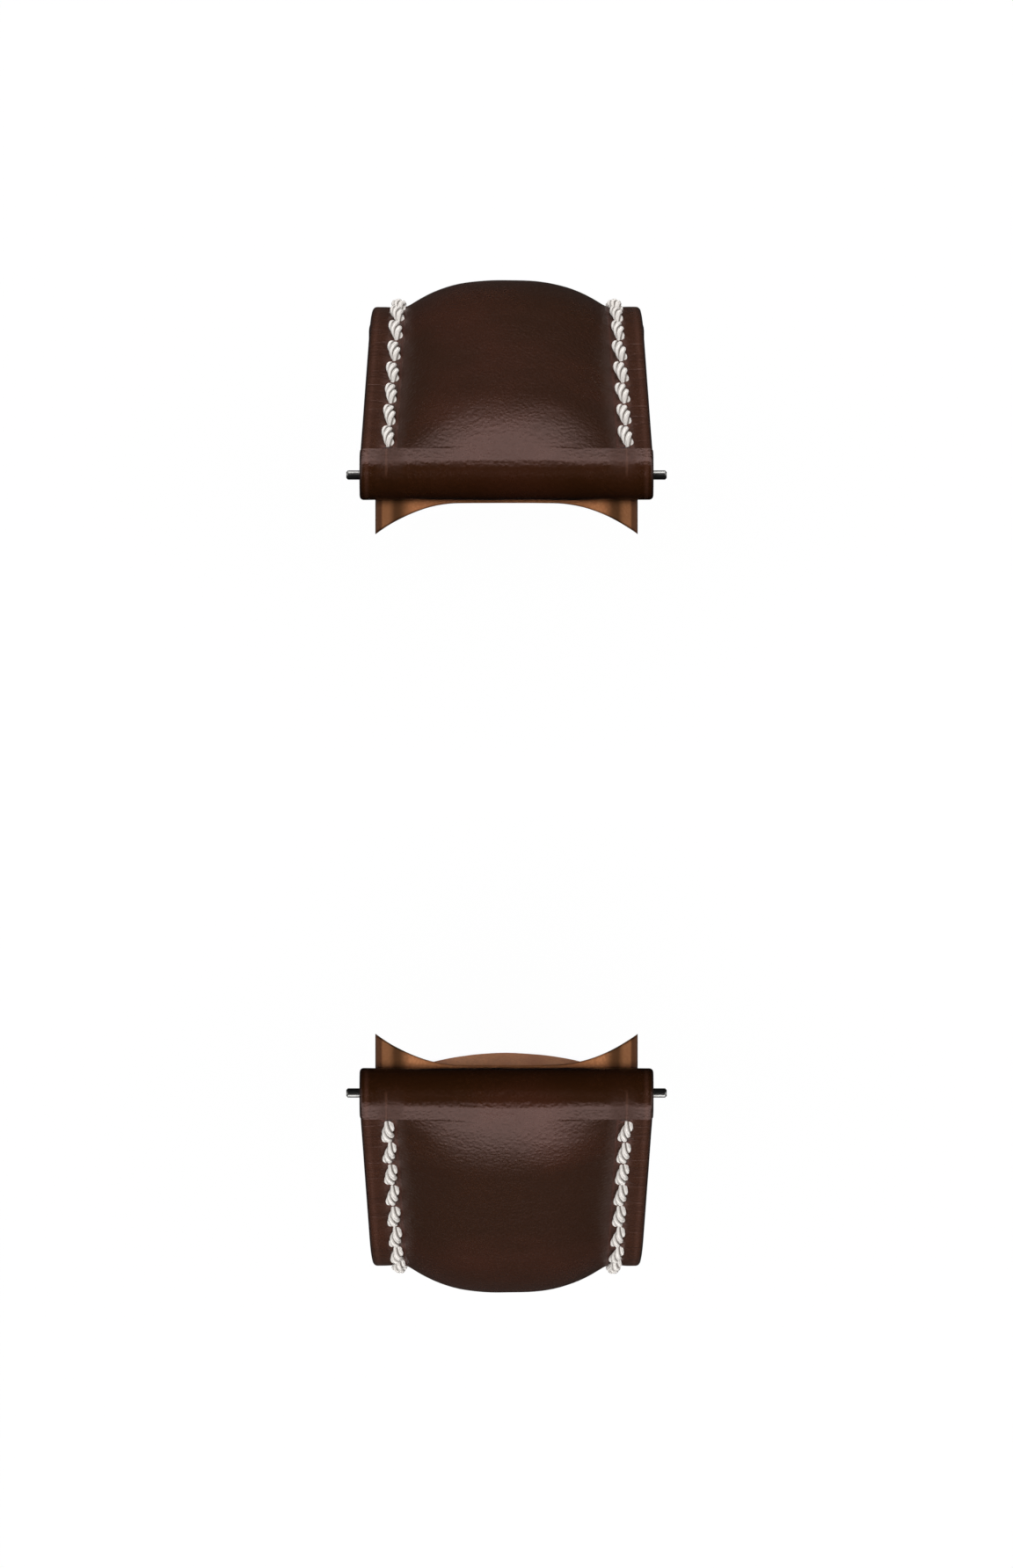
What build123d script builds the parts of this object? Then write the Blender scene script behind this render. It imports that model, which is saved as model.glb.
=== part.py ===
from build123d import *
import os
from math import asin, cos, degrees, radians, sin, sqrt, tan

# A padded leather watch strap in two halves, as it hangs from a watch that lies dial up.
# The origin is the centre of the watch head, level with the spring bars.
# +X points to 3 o'clock, +Y to 12 o'clock and +Z out of the dial.
# The upper half, at 12 o'clock, carries the buckle, and the lower half has the holes.
# Both halves are drawn on the +Y side, and the lower one is mirrored when it is done.

# Strap outline
lug_width = 22.0
narrow_width = 18.0
taper_depth = 58.0
bar_spacing = 46.3
upper_length = 75.0
lower_length = 115.0
tip_length = 11.0
tip_round = 3.0

# Layers
outer_thickness = 1.3
lining_thickness = 1.1
tape_thickness = 0.25
tape_width = 11.0
tape_start = 5.0

# Side view of each half: straight down from the bar, a bend, then the hanging run.
# Angles are measured down from level.
drop_angle = 57.0
bend_radius = 14.0
upper_straight = 18.2
upper_bend_angle = 42.0
upper_run_angle = 0.0
lower_straight = 18.9
lower_bend_angle = 35.0
lower_run_angle = 12.0

# Spring bars at the lugs and in the buckle
bar_radius = 0.75
bar_wall = 0.13
bar_neck_wall = 0.2
bar_neck_length = 0.6
bar_end_gap = 0.8
sliding_clearance = 0.03
collar_length = 1.6
pin_radius = 0.35
pin_reach = 1.0
pin_chamfer = 0.12
spring_wire_radius = 0.07
spring_turns = 16
spring_end_gap = 0.02
buckle_bar_end_gap = 0.3

# Leather loops round the bars
bar_clearance = 0.05
lug_loop_wall = 1.05
buckle_loop_wall = 0.9
lug_flap_length = 10.0
buckle_flap_length = 8.0
buckle_lining_gap = 3.2

# Tan tongue of the lining that meets the round case
case_clearance = 0.05
tab_step = 1.15
tab_shoulder = 0.6
tab_bend_radius = 0.8

# Saddle stitching
stitch_pitch = 3.05
stitch_inset = 2.0
first_stitch = 1.9
thread_radius = 0.36
thread_gap = 0.02
thread_bend_gap = 0.04
stitch_keeper_gap = 1.5
lower_stitch_end_gap = 13.0

# Raised padding under the outer leather
pad_height = 2.1
pad_edge_gap = 0.9
pad_edge_leather = 0.4
pad_rise_length = 7.0
pad_start = 2.9
pad_fade_length = 14.0
pad_end_height = 0.45
pad_foot_sink = 0.15
pad_steps = 4

# Holes for the buckle's tongue
hole_radius = 1.1
hole_spacing = 6.5
hole_count = 7
first_hole_from_tip = 26.0

# Keepers
keeper_length = 5.5
keeper_thickness = 1.0
keeper_corner = 1.4
keeper_side_gap = 0.2
keeper_under_gap = 0.3
keeper_room = 0.5
fixed_keeper_from_bar = 9.5
free_keeper_from_bar = 24.0
free_keeper_travel_up = 5.0
seam_thread_radius = 0.25
seam_count = 3
seam_width = 3.0

# Buckle
arm_gap = 0.3
arm_width = 1.9
arm_height = 2.6
arm_rear = 1.7
frame_reach = 8.6
front_bar_length = 2.4
front_bar_bow = 0.5
frame_corner = 2.2
frame_fillet = 0.55
pin_hole_depth = 1.3
eye_wall = 0.6
tongue_width = 2.0
tongue_thickness = 1.0
tongue_overhang = 0.7
tongue_flat = 2.9
tongue_tip_radius = 0.45
tongue_slot_gap = 0.35
tongue_slot_depth = 4.0
tongue_notch_depth = 0.35
tongue_rest_gap = 0.03

# Cuts run past the faces that they open by this much
overrun = 2.0

# Worked-out sizes
bar_y = bar_spacing / 2
bar_seat_radius = bar_radius + bar_clearance
bar_bore = bar_radius - bar_wall
neck_bore = bar_radius - bar_neck_wall
collar_radius = bar_bore - sliding_clearance
stem_radius = neck_bore - sliding_clearance
lug_loop_radius = bar_seat_radius + lug_loop_wall
buckle_loop_radius = bar_seat_radius + buckle_loop_wall
case_radius = bar_y - lug_loop_radius - case_clearance
tab_width = lug_width - 2 * tab_step
thread_seat = thread_radius + thread_gap
thread_bend_radius = thread_radius + thread_bend_gap
thread_stand = thread_seat + thread_radius
pad_inset = stitch_inset + pad_edge_gap
pad_cavity_inset = pad_inset + pad_edge_leather
frame_inner_width = narrow_width + 2 * arm_gap
upper_stitch_end_gap = fixed_keeper_from_bar + keeper_length / 2 + stitch_keeper_gap
keeper_over_room = lining_thickness + outer_thickness + keeper_room
free_keeper_under_gap = thread_stand + keeper_under_gap
eye_radius = bar_seat_radius + eye_wall
lug_flap_slope = asin(lug_loop_radius / lug_flap_length)
buckle_flap_slope = asin(buckle_loop_radius / buckle_flap_length)


class Route:
    """Side view of one half: where its glue line lies, by the distance from the bar."""

    def __init__(self, length, straight, bend_angle, run_angle):
        bend = bend_radius * radians(bend_angle)
        self.length = length
        self.straight = straight
        self.bend_end = straight + bend
        self.run_angle = run_angle
        self.pieces = [(straight, 0), (bend, bend_angle), (length - self.bend_end, run_angle)]

    def station(self, s):
        """Place (y, z) on the glue line at distance s, and the angle of drop there."""
        y, z, angle, left = bar_y, 0, drop_angle, s
        for number, (piece_length, turn) in enumerate(self.pieces):
            last = number == len(self.pieces) - 1
            run = left if last else min(left, piece_length)
            swing = turn * run / piece_length
            half_swing = radians(swing / 2)
            chord = run * sin(half_swing) / half_swing if half_swing else run
            y += chord * cos(radians(angle) + half_swing)
            z -= chord * sin(radians(angle) + half_swing)
            angle += swing
            left -= run
            if not left:
                break
        return y, z, angle

    def point(self, s, height=0):
        """Point (y, z) at a height above the glue line, towards the outer leather."""
        y, z, angle = self.station(s)
        return y + height * sin(radians(angle)), z + height * cos(radians(angle))

    def plane(self, s, across_strap):
        """Plane at distance s, with X across the strap: a cross-section, or the strap's face."""
        y, z, angle = self.station(s)
        uphill = (0, -cos(radians(angle)), sin(radians(angle)))
        outward = (0, sin(radians(angle)), cos(radians(angle)))
        return Plane(origin=(0, y, z), x_dir=(1, 0, 0), z_dir=uphill if across_strap else outward)

    def line(self, start, end, height):
        """One long edge of a layer, drawn in the side view."""
        stops = [start, *[s for s in (self.straight, self.bend_end) if start < s < end], end]
        for near, far in zip(stops, stops[1:]):
            ends = self.point(near, height), self.point(far, height)
            if far <= self.straight or (near >= self.bend_end and not self.run_angle):
                Line(*ends)
            else:
                ThreePointArc(ends[0], self.point((near + far) / 2, height), ends[1])

    def layer(self, start, end, low, high):
        """Side view of a layer between two heights."""
        with BuildSketch() as side:
            with BuildLine():
                self.line(start, end, low)
                self.line(start, end, high)
                Line(self.point(start, low), self.point(start, high))
                Line(self.point(end, low), self.point(end, high))
            make_face()
        return side.sketch


upper = Route(upper_length, upper_straight, upper_bend_angle, upper_run_angle)
lower = Route(lower_length, lower_straight, lower_bend_angle, lower_run_angle)
tip_z = lower.station(lower_length)[1]


def half_width(route, s):
    """Half the strap's width at distance s: it tapers with depth."""
    share = min(max(-route.station(s)[1] / taper_depth, 0), 1)
    return (lug_width - (lug_width - narrow_width) * share) / 2


def outline(route):
    """Front view of the strap: its taper and the tail's tip."""
    wide = lug_width / 2
    narrow = narrow_width / 2
    above = lug_loop_radius + pad_height + overrun
    end_z = route.station(upper_length)[1] - buckle_loop_radius - overrun
    below = tip_z + tip_length if route is lower else end_z
    side = [(narrow, below), (narrow, -taper_depth), (wide, 0), (wide, above)]
    with BuildSketch(Plane.XZ) as front:
        with BuildLine():
            Polyline(*side, *[(-x, z) for x, z in reversed(side)])
            if route is lower:
                TangentArc((narrow, below), (0, tip_z), tangent=(0, -1))
                TangentArc((-narrow, below), (0, tip_z), tangent=(0, -1))
            else:
                Line((-narrow, below), (narrow, below))
        make_face()
        if route is lower:
            fillet(front.vertices().sort_by(Axis.Y)[0], tip_round)
    return front.sketch


def turned_flap(route, bar_s, toward, loop_radius, slope, flap_length):
    """Side view of the leather that turns round a bar and is glued under itself."""
    touch = (bar_s + toward * loop_radius * sin(slope), -loop_radius * cos(slope))
    glued = bar_s + toward * flap_length
    with BuildSketch() as side:
        with BuildLine():
            Polyline(route.point(bar_s), route.point(*touch), route.point(glued), close=True)
        make_face()
        with Locations(route.point(bar_s)):
            Circle(loop_radius)
    return side.sketch


def pad_rise(route, s):
    """How far the outer leather stands above its own thickness."""
    bar_rise = lug_loop_radius - outer_thickness
    if s < pad_rise_length:
        left = 1 - s / pad_rise_length
        return bar_rise + (pad_height - bar_rise) * (1 - left**2)
    left = min(1, 1 - (s - route.bend_end) / pad_fade_length)
    return pad_end_height + (pad_height - pad_end_height) * left**2 * (3 - 2 * left)


def pad_stations(route, start):
    """Distances from the bar where the padding's cross-sections stand."""
    fade_end = route.bend_end + pad_fade_length
    stretches = [(start, pad_rise_length), (route.straight, route.bend_end), (route.bend_end, fade_end)]
    stations = [near + (far - near) * i / pad_steps for near, far in stretches for i in range(pad_steps)]
    stations += [pad_rise_length, (pad_rise_length + route.straight) / 2, fade_end]
    return sorted(stations)


def padded_form(route, start, inset, foot, skirt, drop):
    """Arched cross-sections lofted along the strap."""
    with BuildPart() as form:
        for s in pad_stations(route, start):
            half = half_width(route, s) - inset
            crown = outer_thickness + pad_rise(route, s) - drop
            with BuildSketch(route.plane(s, True)):
                with BuildLine():
                    Polyline((-half, foot), (-half, skirt), (half, skirt), (half, foot))
                    ThreePointArc((-half, foot), (0, crown), (half, foot))
                make_face()
        loft()
    return form.part


def pad_cavity(route):
    """Room for the padding and the tape, between the outer leather and the glue line."""
    with BuildPart() as cavity:
        add(padded_form(route, pad_start, pad_cavity_inset, -pad_foot_sink, -overrun, outer_thickness))
        with BuildSketch(Plane.YZ):
            add(route.layer(0, route.bend_end + pad_fade_length + overrun, 0, pad_height + overrun))
        extrude(amount=lug_width, both=True, mode=Mode.INTERSECT)
    return cavity.part


def hole_stations(route):
    """Distances of the awl holes from the bar."""
    end_gap = lower_stitch_end_gap if route is lower else upper_stitch_end_gap
    count = int((route.length - end_gap - first_stitch) / stitch_pitch)
    return [first_stitch + stitch_pitch * i for i in range(count + 1)]


def awl_holes(route):
    """Slots where the two threads of each row pass side by side."""
    with BuildPart() as holes:
        for s in hole_stations(route):
            row = half_width(route, s) - stitch_inset
            with BuildSketch(route.plane(s, False)):
                with Locations((row, 0), (-row, 0)):
                    SlotCenterToCenter(2 * thread_seat, 2 * thread_seat)
            extrude(amount=lug_loop_radius + lining_thickness + overrun, both=True)
    return holes.part


def back_height(s):
    """Height of the lining's back, which also covers the turned flap near the lug bar."""
    flap = max(lug_flap_length - s, 0) * tan(lug_flap_slope)
    return -flap - lining_thickness / (cos(lug_flap_slope) if flap else 1)


def thread_points(route, side, first):
    """Corners of one thread of a saddle-stitched row: over one interval and under the next."""
    holes = hole_stations(route)
    bow = stitch_pitch**2 / (8 * bend_radius)
    top = outer_thickness + thread_seat + bow

    def corner(number, lateral, on_top):
        s = holes[number]
        y, z = route.point(s, top if on_top else back_height(s) - thread_seat)
        return side * (half_width(route, s) - stitch_inset) + lateral, y, z

    points = [corner(1, -thread_seat, False)] if first else []
    for number in range(first, len(holes) - 1, 2):
        points += [
            corner(number, -thread_seat, False),
            corner(number, -thread_seat, True),
            corner(number + 1, thread_seat, True),
            corner(number + 1, thread_seat, False),
        ]
    return points[1:] if first else points


def stitch_row(route, side):
    """Both threads of one row of saddle stitching."""
    with BuildPart() as row:
        for first in (0, 1):
            points = thread_points(route, side, first)
            with BuildLine() as path:
                FilletPolyline(*points, radius=thread_bend_radius)
            ahead = Vector(*points[1]) - Vector(*points[0])
            with BuildSketch(Plane(origin=points[0], z_dir=ahead)):
                Circle(thread_radius)
            sweep(path=path.wire())
    return row


def outer_leather(route):
    """Top leather: turned round the lug bar, raised over the padding, holed for the thread."""
    bars = [route.point(0)]
    reach = bar_spacing + lower_length
    with BuildPart() as leather:
        with BuildSketch(Plane.YZ):
            if route is lower:
                add(route.layer(0, route.length + overrun, 0, outer_thickness))
            else:
                add(route.layer(0, route.length, 0, outer_thickness))
                buckle_loop = (buckle_loop_radius, buckle_flap_slope, buckle_flap_length)
                add(turned_flap(route, route.length, -1, *buckle_loop))
                bars.append(route.point(route.length))
            add(turned_flap(route, 0, 1, lug_loop_radius, lug_flap_slope, lug_flap_length))
        extrude(amount=lug_width, both=True)
        extrude(outline(route), amount=reach, both=True, mode=Mode.INTERSECT)
        add(padded_form(route, 0, pad_inset, outer_thickness - pad_foot_sink, outer_thickness / 2, 0))
        with BuildSketch(Plane.YZ):
            with Locations(*bars):
                Circle(bar_seat_radius)
        extrude(amount=lug_width, both=True, mode=Mode.SUBTRACT)
        add(pad_cavity(route), mode=Mode.SUBTRACT)
        add(awl_holes(route), mode=Mode.SUBTRACT)
        add(tongue_openings(route), mode=Mode.SUBTRACT)
    return leather


def tongue_openings(route):
    """Slot for the buckle's tongue in the upper half, and the row of holes in the tail."""
    with BuildPart() as openings:
        if route is lower:
            for number in range(hole_count):
                s = route.length - first_hole_from_tip - hole_spacing * number
                with BuildSketch(route.plane(s, False)):
                    Circle(hole_radius)
                extrude(amount=outer_thickness + lining_thickness + overrun, both=True)
        else:
            slot_end = buckle_loop_radius + overrun
            with BuildSketch(route.plane(route.length, False)):
                with Locations((0, (slot_end - tongue_slot_depth) / 2)):
                    Rectangle(tongue_width + 2 * tongue_slot_gap, tongue_slot_depth + slot_end)
            extrude(amount=buckle_loop_radius + lining_thickness + overrun, both=True)
    return openings.part


def lining(route):
    """Tan lining: tongue towards the case, bend under the loop, then along the glue line."""
    flap_drop = drop_angle - degrees(lug_flap_slope)
    tongue_start = sqrt(case_radius**2 - (tab_width / 2) ** 2) - overrun
    turn = radians(flap_drop)
    # The flap's underside runs through the place where it touches the loop, and the tongue's
    # upper face lies level with the loop's lowest line.
    loop_low = -lug_loop_radius
    crest_y = bar_y - lug_loop_radius * sin(turn) + (lug_loop_radius * (1 - cos(turn))) / tan(turn)
    tongue_low = loop_low - lining_thickness
    low_crest_y = crest_y - lining_thickness * tan(turn / 2)
    low_glued = lug_flap_length + lining_thickness * tan(lug_flap_slope / 2)
    top_glued = route.point(lug_flap_length)
    end = route.length + overrun if route is lower else route.length - buckle_flap_length
    with BuildPart() as piece:
        with BuildSketch(Plane.YZ):
            with BuildLine():
                FilletPolyline(
                    (tongue_start, loop_low),
                    (crest_y, loop_low),
                    top_glued,
                    radius=tab_bend_radius + lining_thickness,
                )
                FilletPolyline(
                    (tongue_start, tongue_low),
                    (low_crest_y, tongue_low),
                    route.point(low_glued, -lining_thickness),
                    radius=tab_bend_radius,
                )
                Line((tongue_start, loop_low), (tongue_start, tongue_low))
                Line(top_glued, route.point(low_glued, -lining_thickness))
            make_face()
            add(route.layer(lug_flap_length, end, -lining_thickness, 0))
            if route is upper:
                run = buckle_flap_length - buckle_lining_gap
                drop = run * tan(buckle_flap_slope)
                slip = lining_thickness * sin(buckle_flap_slope)
                fall = lining_thickness * cos(buckle_flap_slope)
                corner = end - lining_thickness * tan(buckle_flap_slope / 2)
                with BuildLine():
                    Polyline(
                        route.point(end),
                        route.point(end + run, -drop),
                        route.point(end + run - slip, -drop - fall),
                        route.point(corner, -lining_thickness),
                        close=True,
                    )
                make_face()
        extrude(amount=lug_width, both=True)
        extrude(outline(route), amount=bar_spacing + lower_length, both=True, mode=Mode.INTERSECT)
        with BuildSketch(Plane.XY):
            Circle(case_radius)
            for side in (-1, 1):
                with Locations((side * (tab_width + lug_width) / 2, 0)):
                    Rectangle(lug_width, bar_spacing - 2 * tab_shoulder)
        extrude(amount=lug_width, both=True, mode=Mode.SUBTRACT)
        add(awl_holes(route), mode=Mode.SUBTRACT)
        add(tongue_openings(route), mode=Mode.SUBTRACT)
    return piece


def tape(route):
    """Woven tape under the padding, which keeps the leather from stretching."""
    with BuildPart() as piece:
        with BuildSketch(Plane.YZ):
            add(route.layer(tape_start, route.bend_end + pad_fade_length, 0, tape_thickness))
        extrude(amount=tape_width / 2, both=True)
        add(pad_cavity(route), mode=Mode.INTERSECT)
    return piece


def padding(route):
    """Soft core that fills the rest of the room under the outer leather."""
    with BuildPart() as piece:
        add(pad_cavity(route))
        add(tape(route).part, mode=Mode.SUBTRACT)
    return piece


def bar_tube(place, half_length):
    """Tube of a spring bar, narrowed at both ends to keep its tips in."""
    with BuildPart() as piece:
        with BuildSketch(Plane.YZ):
            with Locations(place):
                Circle(bar_radius)
                Circle(neck_bore, mode=Mode.SUBTRACT)
        extrude(amount=half_length, both=True)
        with BuildSketch(Plane.YZ):
            with Locations(place):
                Circle(bar_bore)
        extrude(amount=half_length - bar_neck_length, both=True, mode=Mode.SUBTRACT)
    return piece


def bar_tip(place, half_length, seat, reach, side):
    """Sprung tip: a collar inside the tube, a stem through its end, and a pin beyond the seat."""
    neck = half_length - bar_neck_length
    with BuildPart() as piece:
        with BuildSketch(Plane.YZ.offset(side * neck)):
            with Locations(place):
                Circle(collar_radius)
        extrude(amount=-side * collar_length)
        with BuildSketch(Plane.YZ.offset(side * neck)):
            with Locations(place):
                Circle(stem_radius)
        extrude(amount=side * (seat - neck))
        with BuildSketch(Plane.YZ.offset(side * seat)):
            with Locations(place):
                Circle(pin_radius)
        extrude(amount=side * (reach - seat))
        tip_edge = piece.edges().filter_by(GeomType.CIRCLE).sort_by(Axis.X)[-1 if side > 0 else 0]
        chamfer(tip_edge, pin_chamfer)
    return piece


def bar_spring(place, half_length):
    """Coil spring that pushes the two tips apart."""
    reach = half_length - bar_neck_length - collar_length - spring_wire_radius - spring_end_gap
    coil_radius = collar_radius - spring_wire_radius
    with BuildPart() as piece:
        with BuildLine() as coil:
            Helix(
                pitch=2 * reach / spring_turns,
                height=2 * reach,
                radius=coil_radius,
                center=(-reach, *place),
                direction=(1, 0, 0),
            )
        with BuildSketch(Plane(origin=coil.line @ 0, z_dir=coil.line % 0)):
            Circle(spring_wire_radius)
        sweep(path=coil.wire(), is_frenet=True)
    return piece


def keeper(route, middle, widest, under_gap):
    """Closed leather ring round the strap, with room for the tail to pass over it."""
    half = half_width(route, widest) + keeper_side_gap
    low = -lining_thickness - under_gap
    high = outer_thickness + keeper_over_room
    with BuildPart() as piece:
        with BuildSketch(route.plane(middle, True)):
            with Locations((0, (low + high) / 2)):
                RectangleRounded(
                    2 * (half + keeper_thickness), high - low + 2 * keeper_thickness, keeper_corner
                )
                RectangleRounded(
                    2 * half, high - low, keeper_corner - keeper_thickness, mode=Mode.SUBTRACT
                )
        extrude(amount=keeper_length / 2, both=True)
    return piece


def mirrored(piece):
    """The same piece on the 6 o'clock side."""
    with BuildPart() as other:
        add(mirror(piece.part, about=Plane.XZ, mode=Mode.PRIVATE))
    return other


pieces = {}

for half_name, route in (("upper", upper), ("lower", lower)):
    on_side = mirrored if route is lower else (lambda piece: piece)
    pieces[f"{half_name}_outer_leather"] = on_side(outer_leather(route))
    pieces[f"{half_name}_lining"] = on_side(lining(route))
    pieces[f"{half_name}_padding"] = on_side(padding(route))
    pieces[f"{half_name}_tape"] = on_side(tape(route))
    pieces[f"{half_name}_stitching_left"] = on_side(stitch_row(route, -1))
    pieces[f"{half_name}_stitching_right"] = on_side(stitch_row(route, 1))

# Spring bars: the two at the lugs reach past the strap's edges into the watch's lug holes,
# and the third reaches into the buckle's arms.
buckle_place = upper.point(upper_length)
bars = {
    "upper_bar": ((bar_y, 0), lug_width / 2, bar_end_gap),
    "lower_bar": ((-bar_y, 0), lug_width / 2, bar_end_gap),
    "buckle_bar": (buckle_place, frame_inner_width / 2, buckle_bar_end_gap),
}
for bar_name, (place, seat, end_gap) in bars.items():
    tube_half = seat - end_gap
    pieces[f"{bar_name}_tube"] = bar_tube(place, tube_half)
    pieces[f"{bar_name}_tip_left"] = bar_tip(place, tube_half, seat, seat + pin_reach, -1)
    pieces[f"{bar_name}_tip_right"] = bar_tip(place, tube_half, seat, seat + pin_reach, 1)
    pieces[f"{bar_name}_spring"] = bar_spring(place, tube_half)

# The buckle hangs straight down from its bar: X across it, Y down it, Z away from the wrist.
buckle_plane = Plane(origin=(0, *buckle_place), x_dir=(1, 0, 0), z_dir=(0, 1, 0))
frame_half = frame_inner_width / 2 + arm_width
front_inner = frame_reach - front_bar_length
front_top = arm_height / 2 - tongue_notch_depth

with BuildPart() as buckle_frame:
    with BuildSketch(buckle_plane):
        with BuildLine():
            Polyline(
                (-frame_half, frame_reach),
                (-frame_half, -arm_rear),
                (frame_half, -arm_rear),
                (frame_half, frame_reach),
            )
            ThreePointArc(
                (-frame_half, frame_reach), (0, frame_reach + front_bar_bow), (frame_half, frame_reach)
            )
        frame_face = make_face()
        fillet(frame_face.vertices().sort_by(Axis.Z)[:2], frame_corner)
        with Locations((0, (front_inner - arm_rear - overrun) / 2)):
            Rectangle(frame_inner_width, front_inner + arm_rear + overrun, mode=Mode.SUBTRACT)
    extrude(amount=arm_height / 2, both=True)
    fillet(buckle_frame.edges().filter_by(Plane.XZ), frame_fillet)
    with BuildSketch(buckle_plane.offset(front_top)):
        with Locations((0, frame_reach)):
            Rectangle(tongue_width + 2 * tongue_slot_gap, 2 * (front_bar_length + overrun))
    extrude(amount=arm_height, mode=Mode.SUBTRACT)
    with BuildSketch(Plane.YZ):
        with Locations(buckle_place):
            Circle(pin_radius + bar_clearance)
    extrude(amount=frame_inner_width / 2 + pin_hole_depth, both=True, mode=Mode.SUBTRACT)
pieces["buckle_frame"] = buckle_frame

# The tongue is drawn in side view: Y away from the wrist, Z up.
tongue_low = front_top + tongue_rest_gap
tongue_high = tongue_low + tongue_thickness
tongue_tip = frame_reach + front_bar_bow + tongue_overhang
tongue_kink = tongue_tip - tongue_flat

with BuildPart() as buckle_tongue:
    with BuildSketch(Plane(origin=(0, *buckle_place), x_dir=(0, 1, 0), z_dir=(1, 0, 0))):
        with BuildLine():
            Polyline(
                (eye_radius - tongue_thickness, 0),
                (tongue_low, -tongue_kink),
                (tongue_low, -tongue_tip),
                (tongue_high, -tongue_tip),
                (tongue_high, -tongue_kink),
                (eye_radius, 0),
                close=True,
            )
        plate = make_face()
        fillet(plate.vertices().sort_by(Axis.Z)[:2], tongue_tip_radius)
        Circle(eye_radius)
        Circle(bar_seat_radius, mode=Mode.SUBTRACT)
    extrude(amount=tongue_width / 2, both=True)
pieces["buckle_tongue"] = buckle_tongue

# Keepers round the upper half, near the buckle
fixed_middle = upper_length - fixed_keeper_from_bar
free_middle = upper_length - free_keeper_from_bar
free_highest = free_middle - free_keeper_travel_up - keeper_length / 2
pieces["fixed_keeper"] = keeper(upper, fixed_middle, fixed_middle - keeper_length / 2, keeper_under_gap)
pieces["free_keeper"] = keeper(upper, free_middle, free_highest, free_keeper_under_gap)

# Short stitches that close the free keeper's ring, on its inner side
with BuildPart() as free_keeper_seam:
    seam_height = -lining_thickness - free_keeper_under_gap - keeper_thickness - seam_thread_radius
    seam_pitch = (keeper_length - 2 * seam_thread_radius) / seam_count
    for number in range(seam_count):
        s = free_middle + (number - (seam_count - 1) / 2) * seam_pitch
        y, z = upper.point(s, seam_height)
        with BuildSketch(Plane.YZ):
            with Locations((y, z)):
                Circle(seam_thread_radius)
    extrude(amount=seam_width / 2, both=True)
pieces["free_keeper_seam"] = free_keeper_seam

os.makedirs("parts", exist_ok=True)
for name, piece in pieces.items():
    piece.part.label = name
    export_step(piece.part, f"parts/{name}.step")
    print(name, round(piece.part.volume, 3))
print("buckle bar", buckle_place, "tail end", lower.station(lower_length))
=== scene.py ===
# %% [markdown]
# A padded leather watch strap, seen from straight above, as it hangs from a watch that has been
# lifted out of the picture. The working model is loaded first as a fixed frame, and every piece
# below is drawn in that frame, in metres, so nothing has to be fitted by eye afterwards.

# %% Load the fixed frame
import math

import bmesh
import bpy
import numpy as np
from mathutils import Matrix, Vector, noise


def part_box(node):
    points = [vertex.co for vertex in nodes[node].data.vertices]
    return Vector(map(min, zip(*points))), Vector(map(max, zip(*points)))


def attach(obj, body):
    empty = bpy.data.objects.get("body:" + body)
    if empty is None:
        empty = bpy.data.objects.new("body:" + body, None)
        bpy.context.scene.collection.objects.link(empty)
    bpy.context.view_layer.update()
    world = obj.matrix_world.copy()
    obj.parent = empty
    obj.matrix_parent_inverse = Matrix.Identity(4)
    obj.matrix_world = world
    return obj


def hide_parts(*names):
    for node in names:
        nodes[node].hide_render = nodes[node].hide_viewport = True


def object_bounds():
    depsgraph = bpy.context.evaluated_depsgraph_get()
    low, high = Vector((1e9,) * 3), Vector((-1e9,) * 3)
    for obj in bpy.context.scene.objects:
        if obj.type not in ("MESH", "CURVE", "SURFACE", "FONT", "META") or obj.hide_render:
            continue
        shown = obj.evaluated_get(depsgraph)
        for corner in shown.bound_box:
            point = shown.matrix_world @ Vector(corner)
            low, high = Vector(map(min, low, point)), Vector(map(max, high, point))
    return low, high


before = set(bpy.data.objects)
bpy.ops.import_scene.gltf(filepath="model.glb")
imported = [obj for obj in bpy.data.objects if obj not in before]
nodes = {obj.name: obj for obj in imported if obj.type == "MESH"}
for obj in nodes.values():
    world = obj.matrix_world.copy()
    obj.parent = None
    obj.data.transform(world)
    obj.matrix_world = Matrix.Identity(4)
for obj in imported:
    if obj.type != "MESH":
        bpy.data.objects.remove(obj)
cad_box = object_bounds()
scene = bpy.context.scene
mm = 0.001
print("nodes", len(nodes), "box", [tuple(round(v, 4) for v in corner) for corner in cad_box])

# %% [markdown]
# The photograph looks straight down on the dial side from almost a metre away. A long lens keeps
# the two halves nearly parallel, yet the ends that hang lower still look a little smaller, which is
# what hides them behind the lug ends. The frame is as tall as 117.5 mm at the height of the bars.

# %% Camera
camera_height = 0.93
frame_height = 117.5 * mm
camera_data = bpy.data.cameras.new("camera")
camera_data.sensor_fit = "VERTICAL"
camera_data.sensor_height = 36.0
camera_data.lens = camera_data.sensor_height * camera_height / frame_height
camera_data.clip_start = 0.01
camera_data.clip_end = 20.0
camera = bpy.data.objects.new("camera", camera_data)
camera.location = (0.0, 0.0, camera_height)
scene.collection.objects.link(camera)
scene.camera = camera
scene.view_settings.view_transform = "Standard"
print("lens", round(camera_data.lens, 1), "mm")

# %% [markdown]
# Two low softboxes light the strap, one towards 12 o'clock and one towards 6 o'clock. Their
# reflections make the soft bands over the loops and the arch on the front of the padding. A lamp
# above lights the colours and leaves no highlight of its own. A black card stands between the
# halves, unseen by the camera, so that each half is lit by its own softbox only and the front of
# its loop stays dark. The dim room beyond keeps the brown deep.


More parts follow.
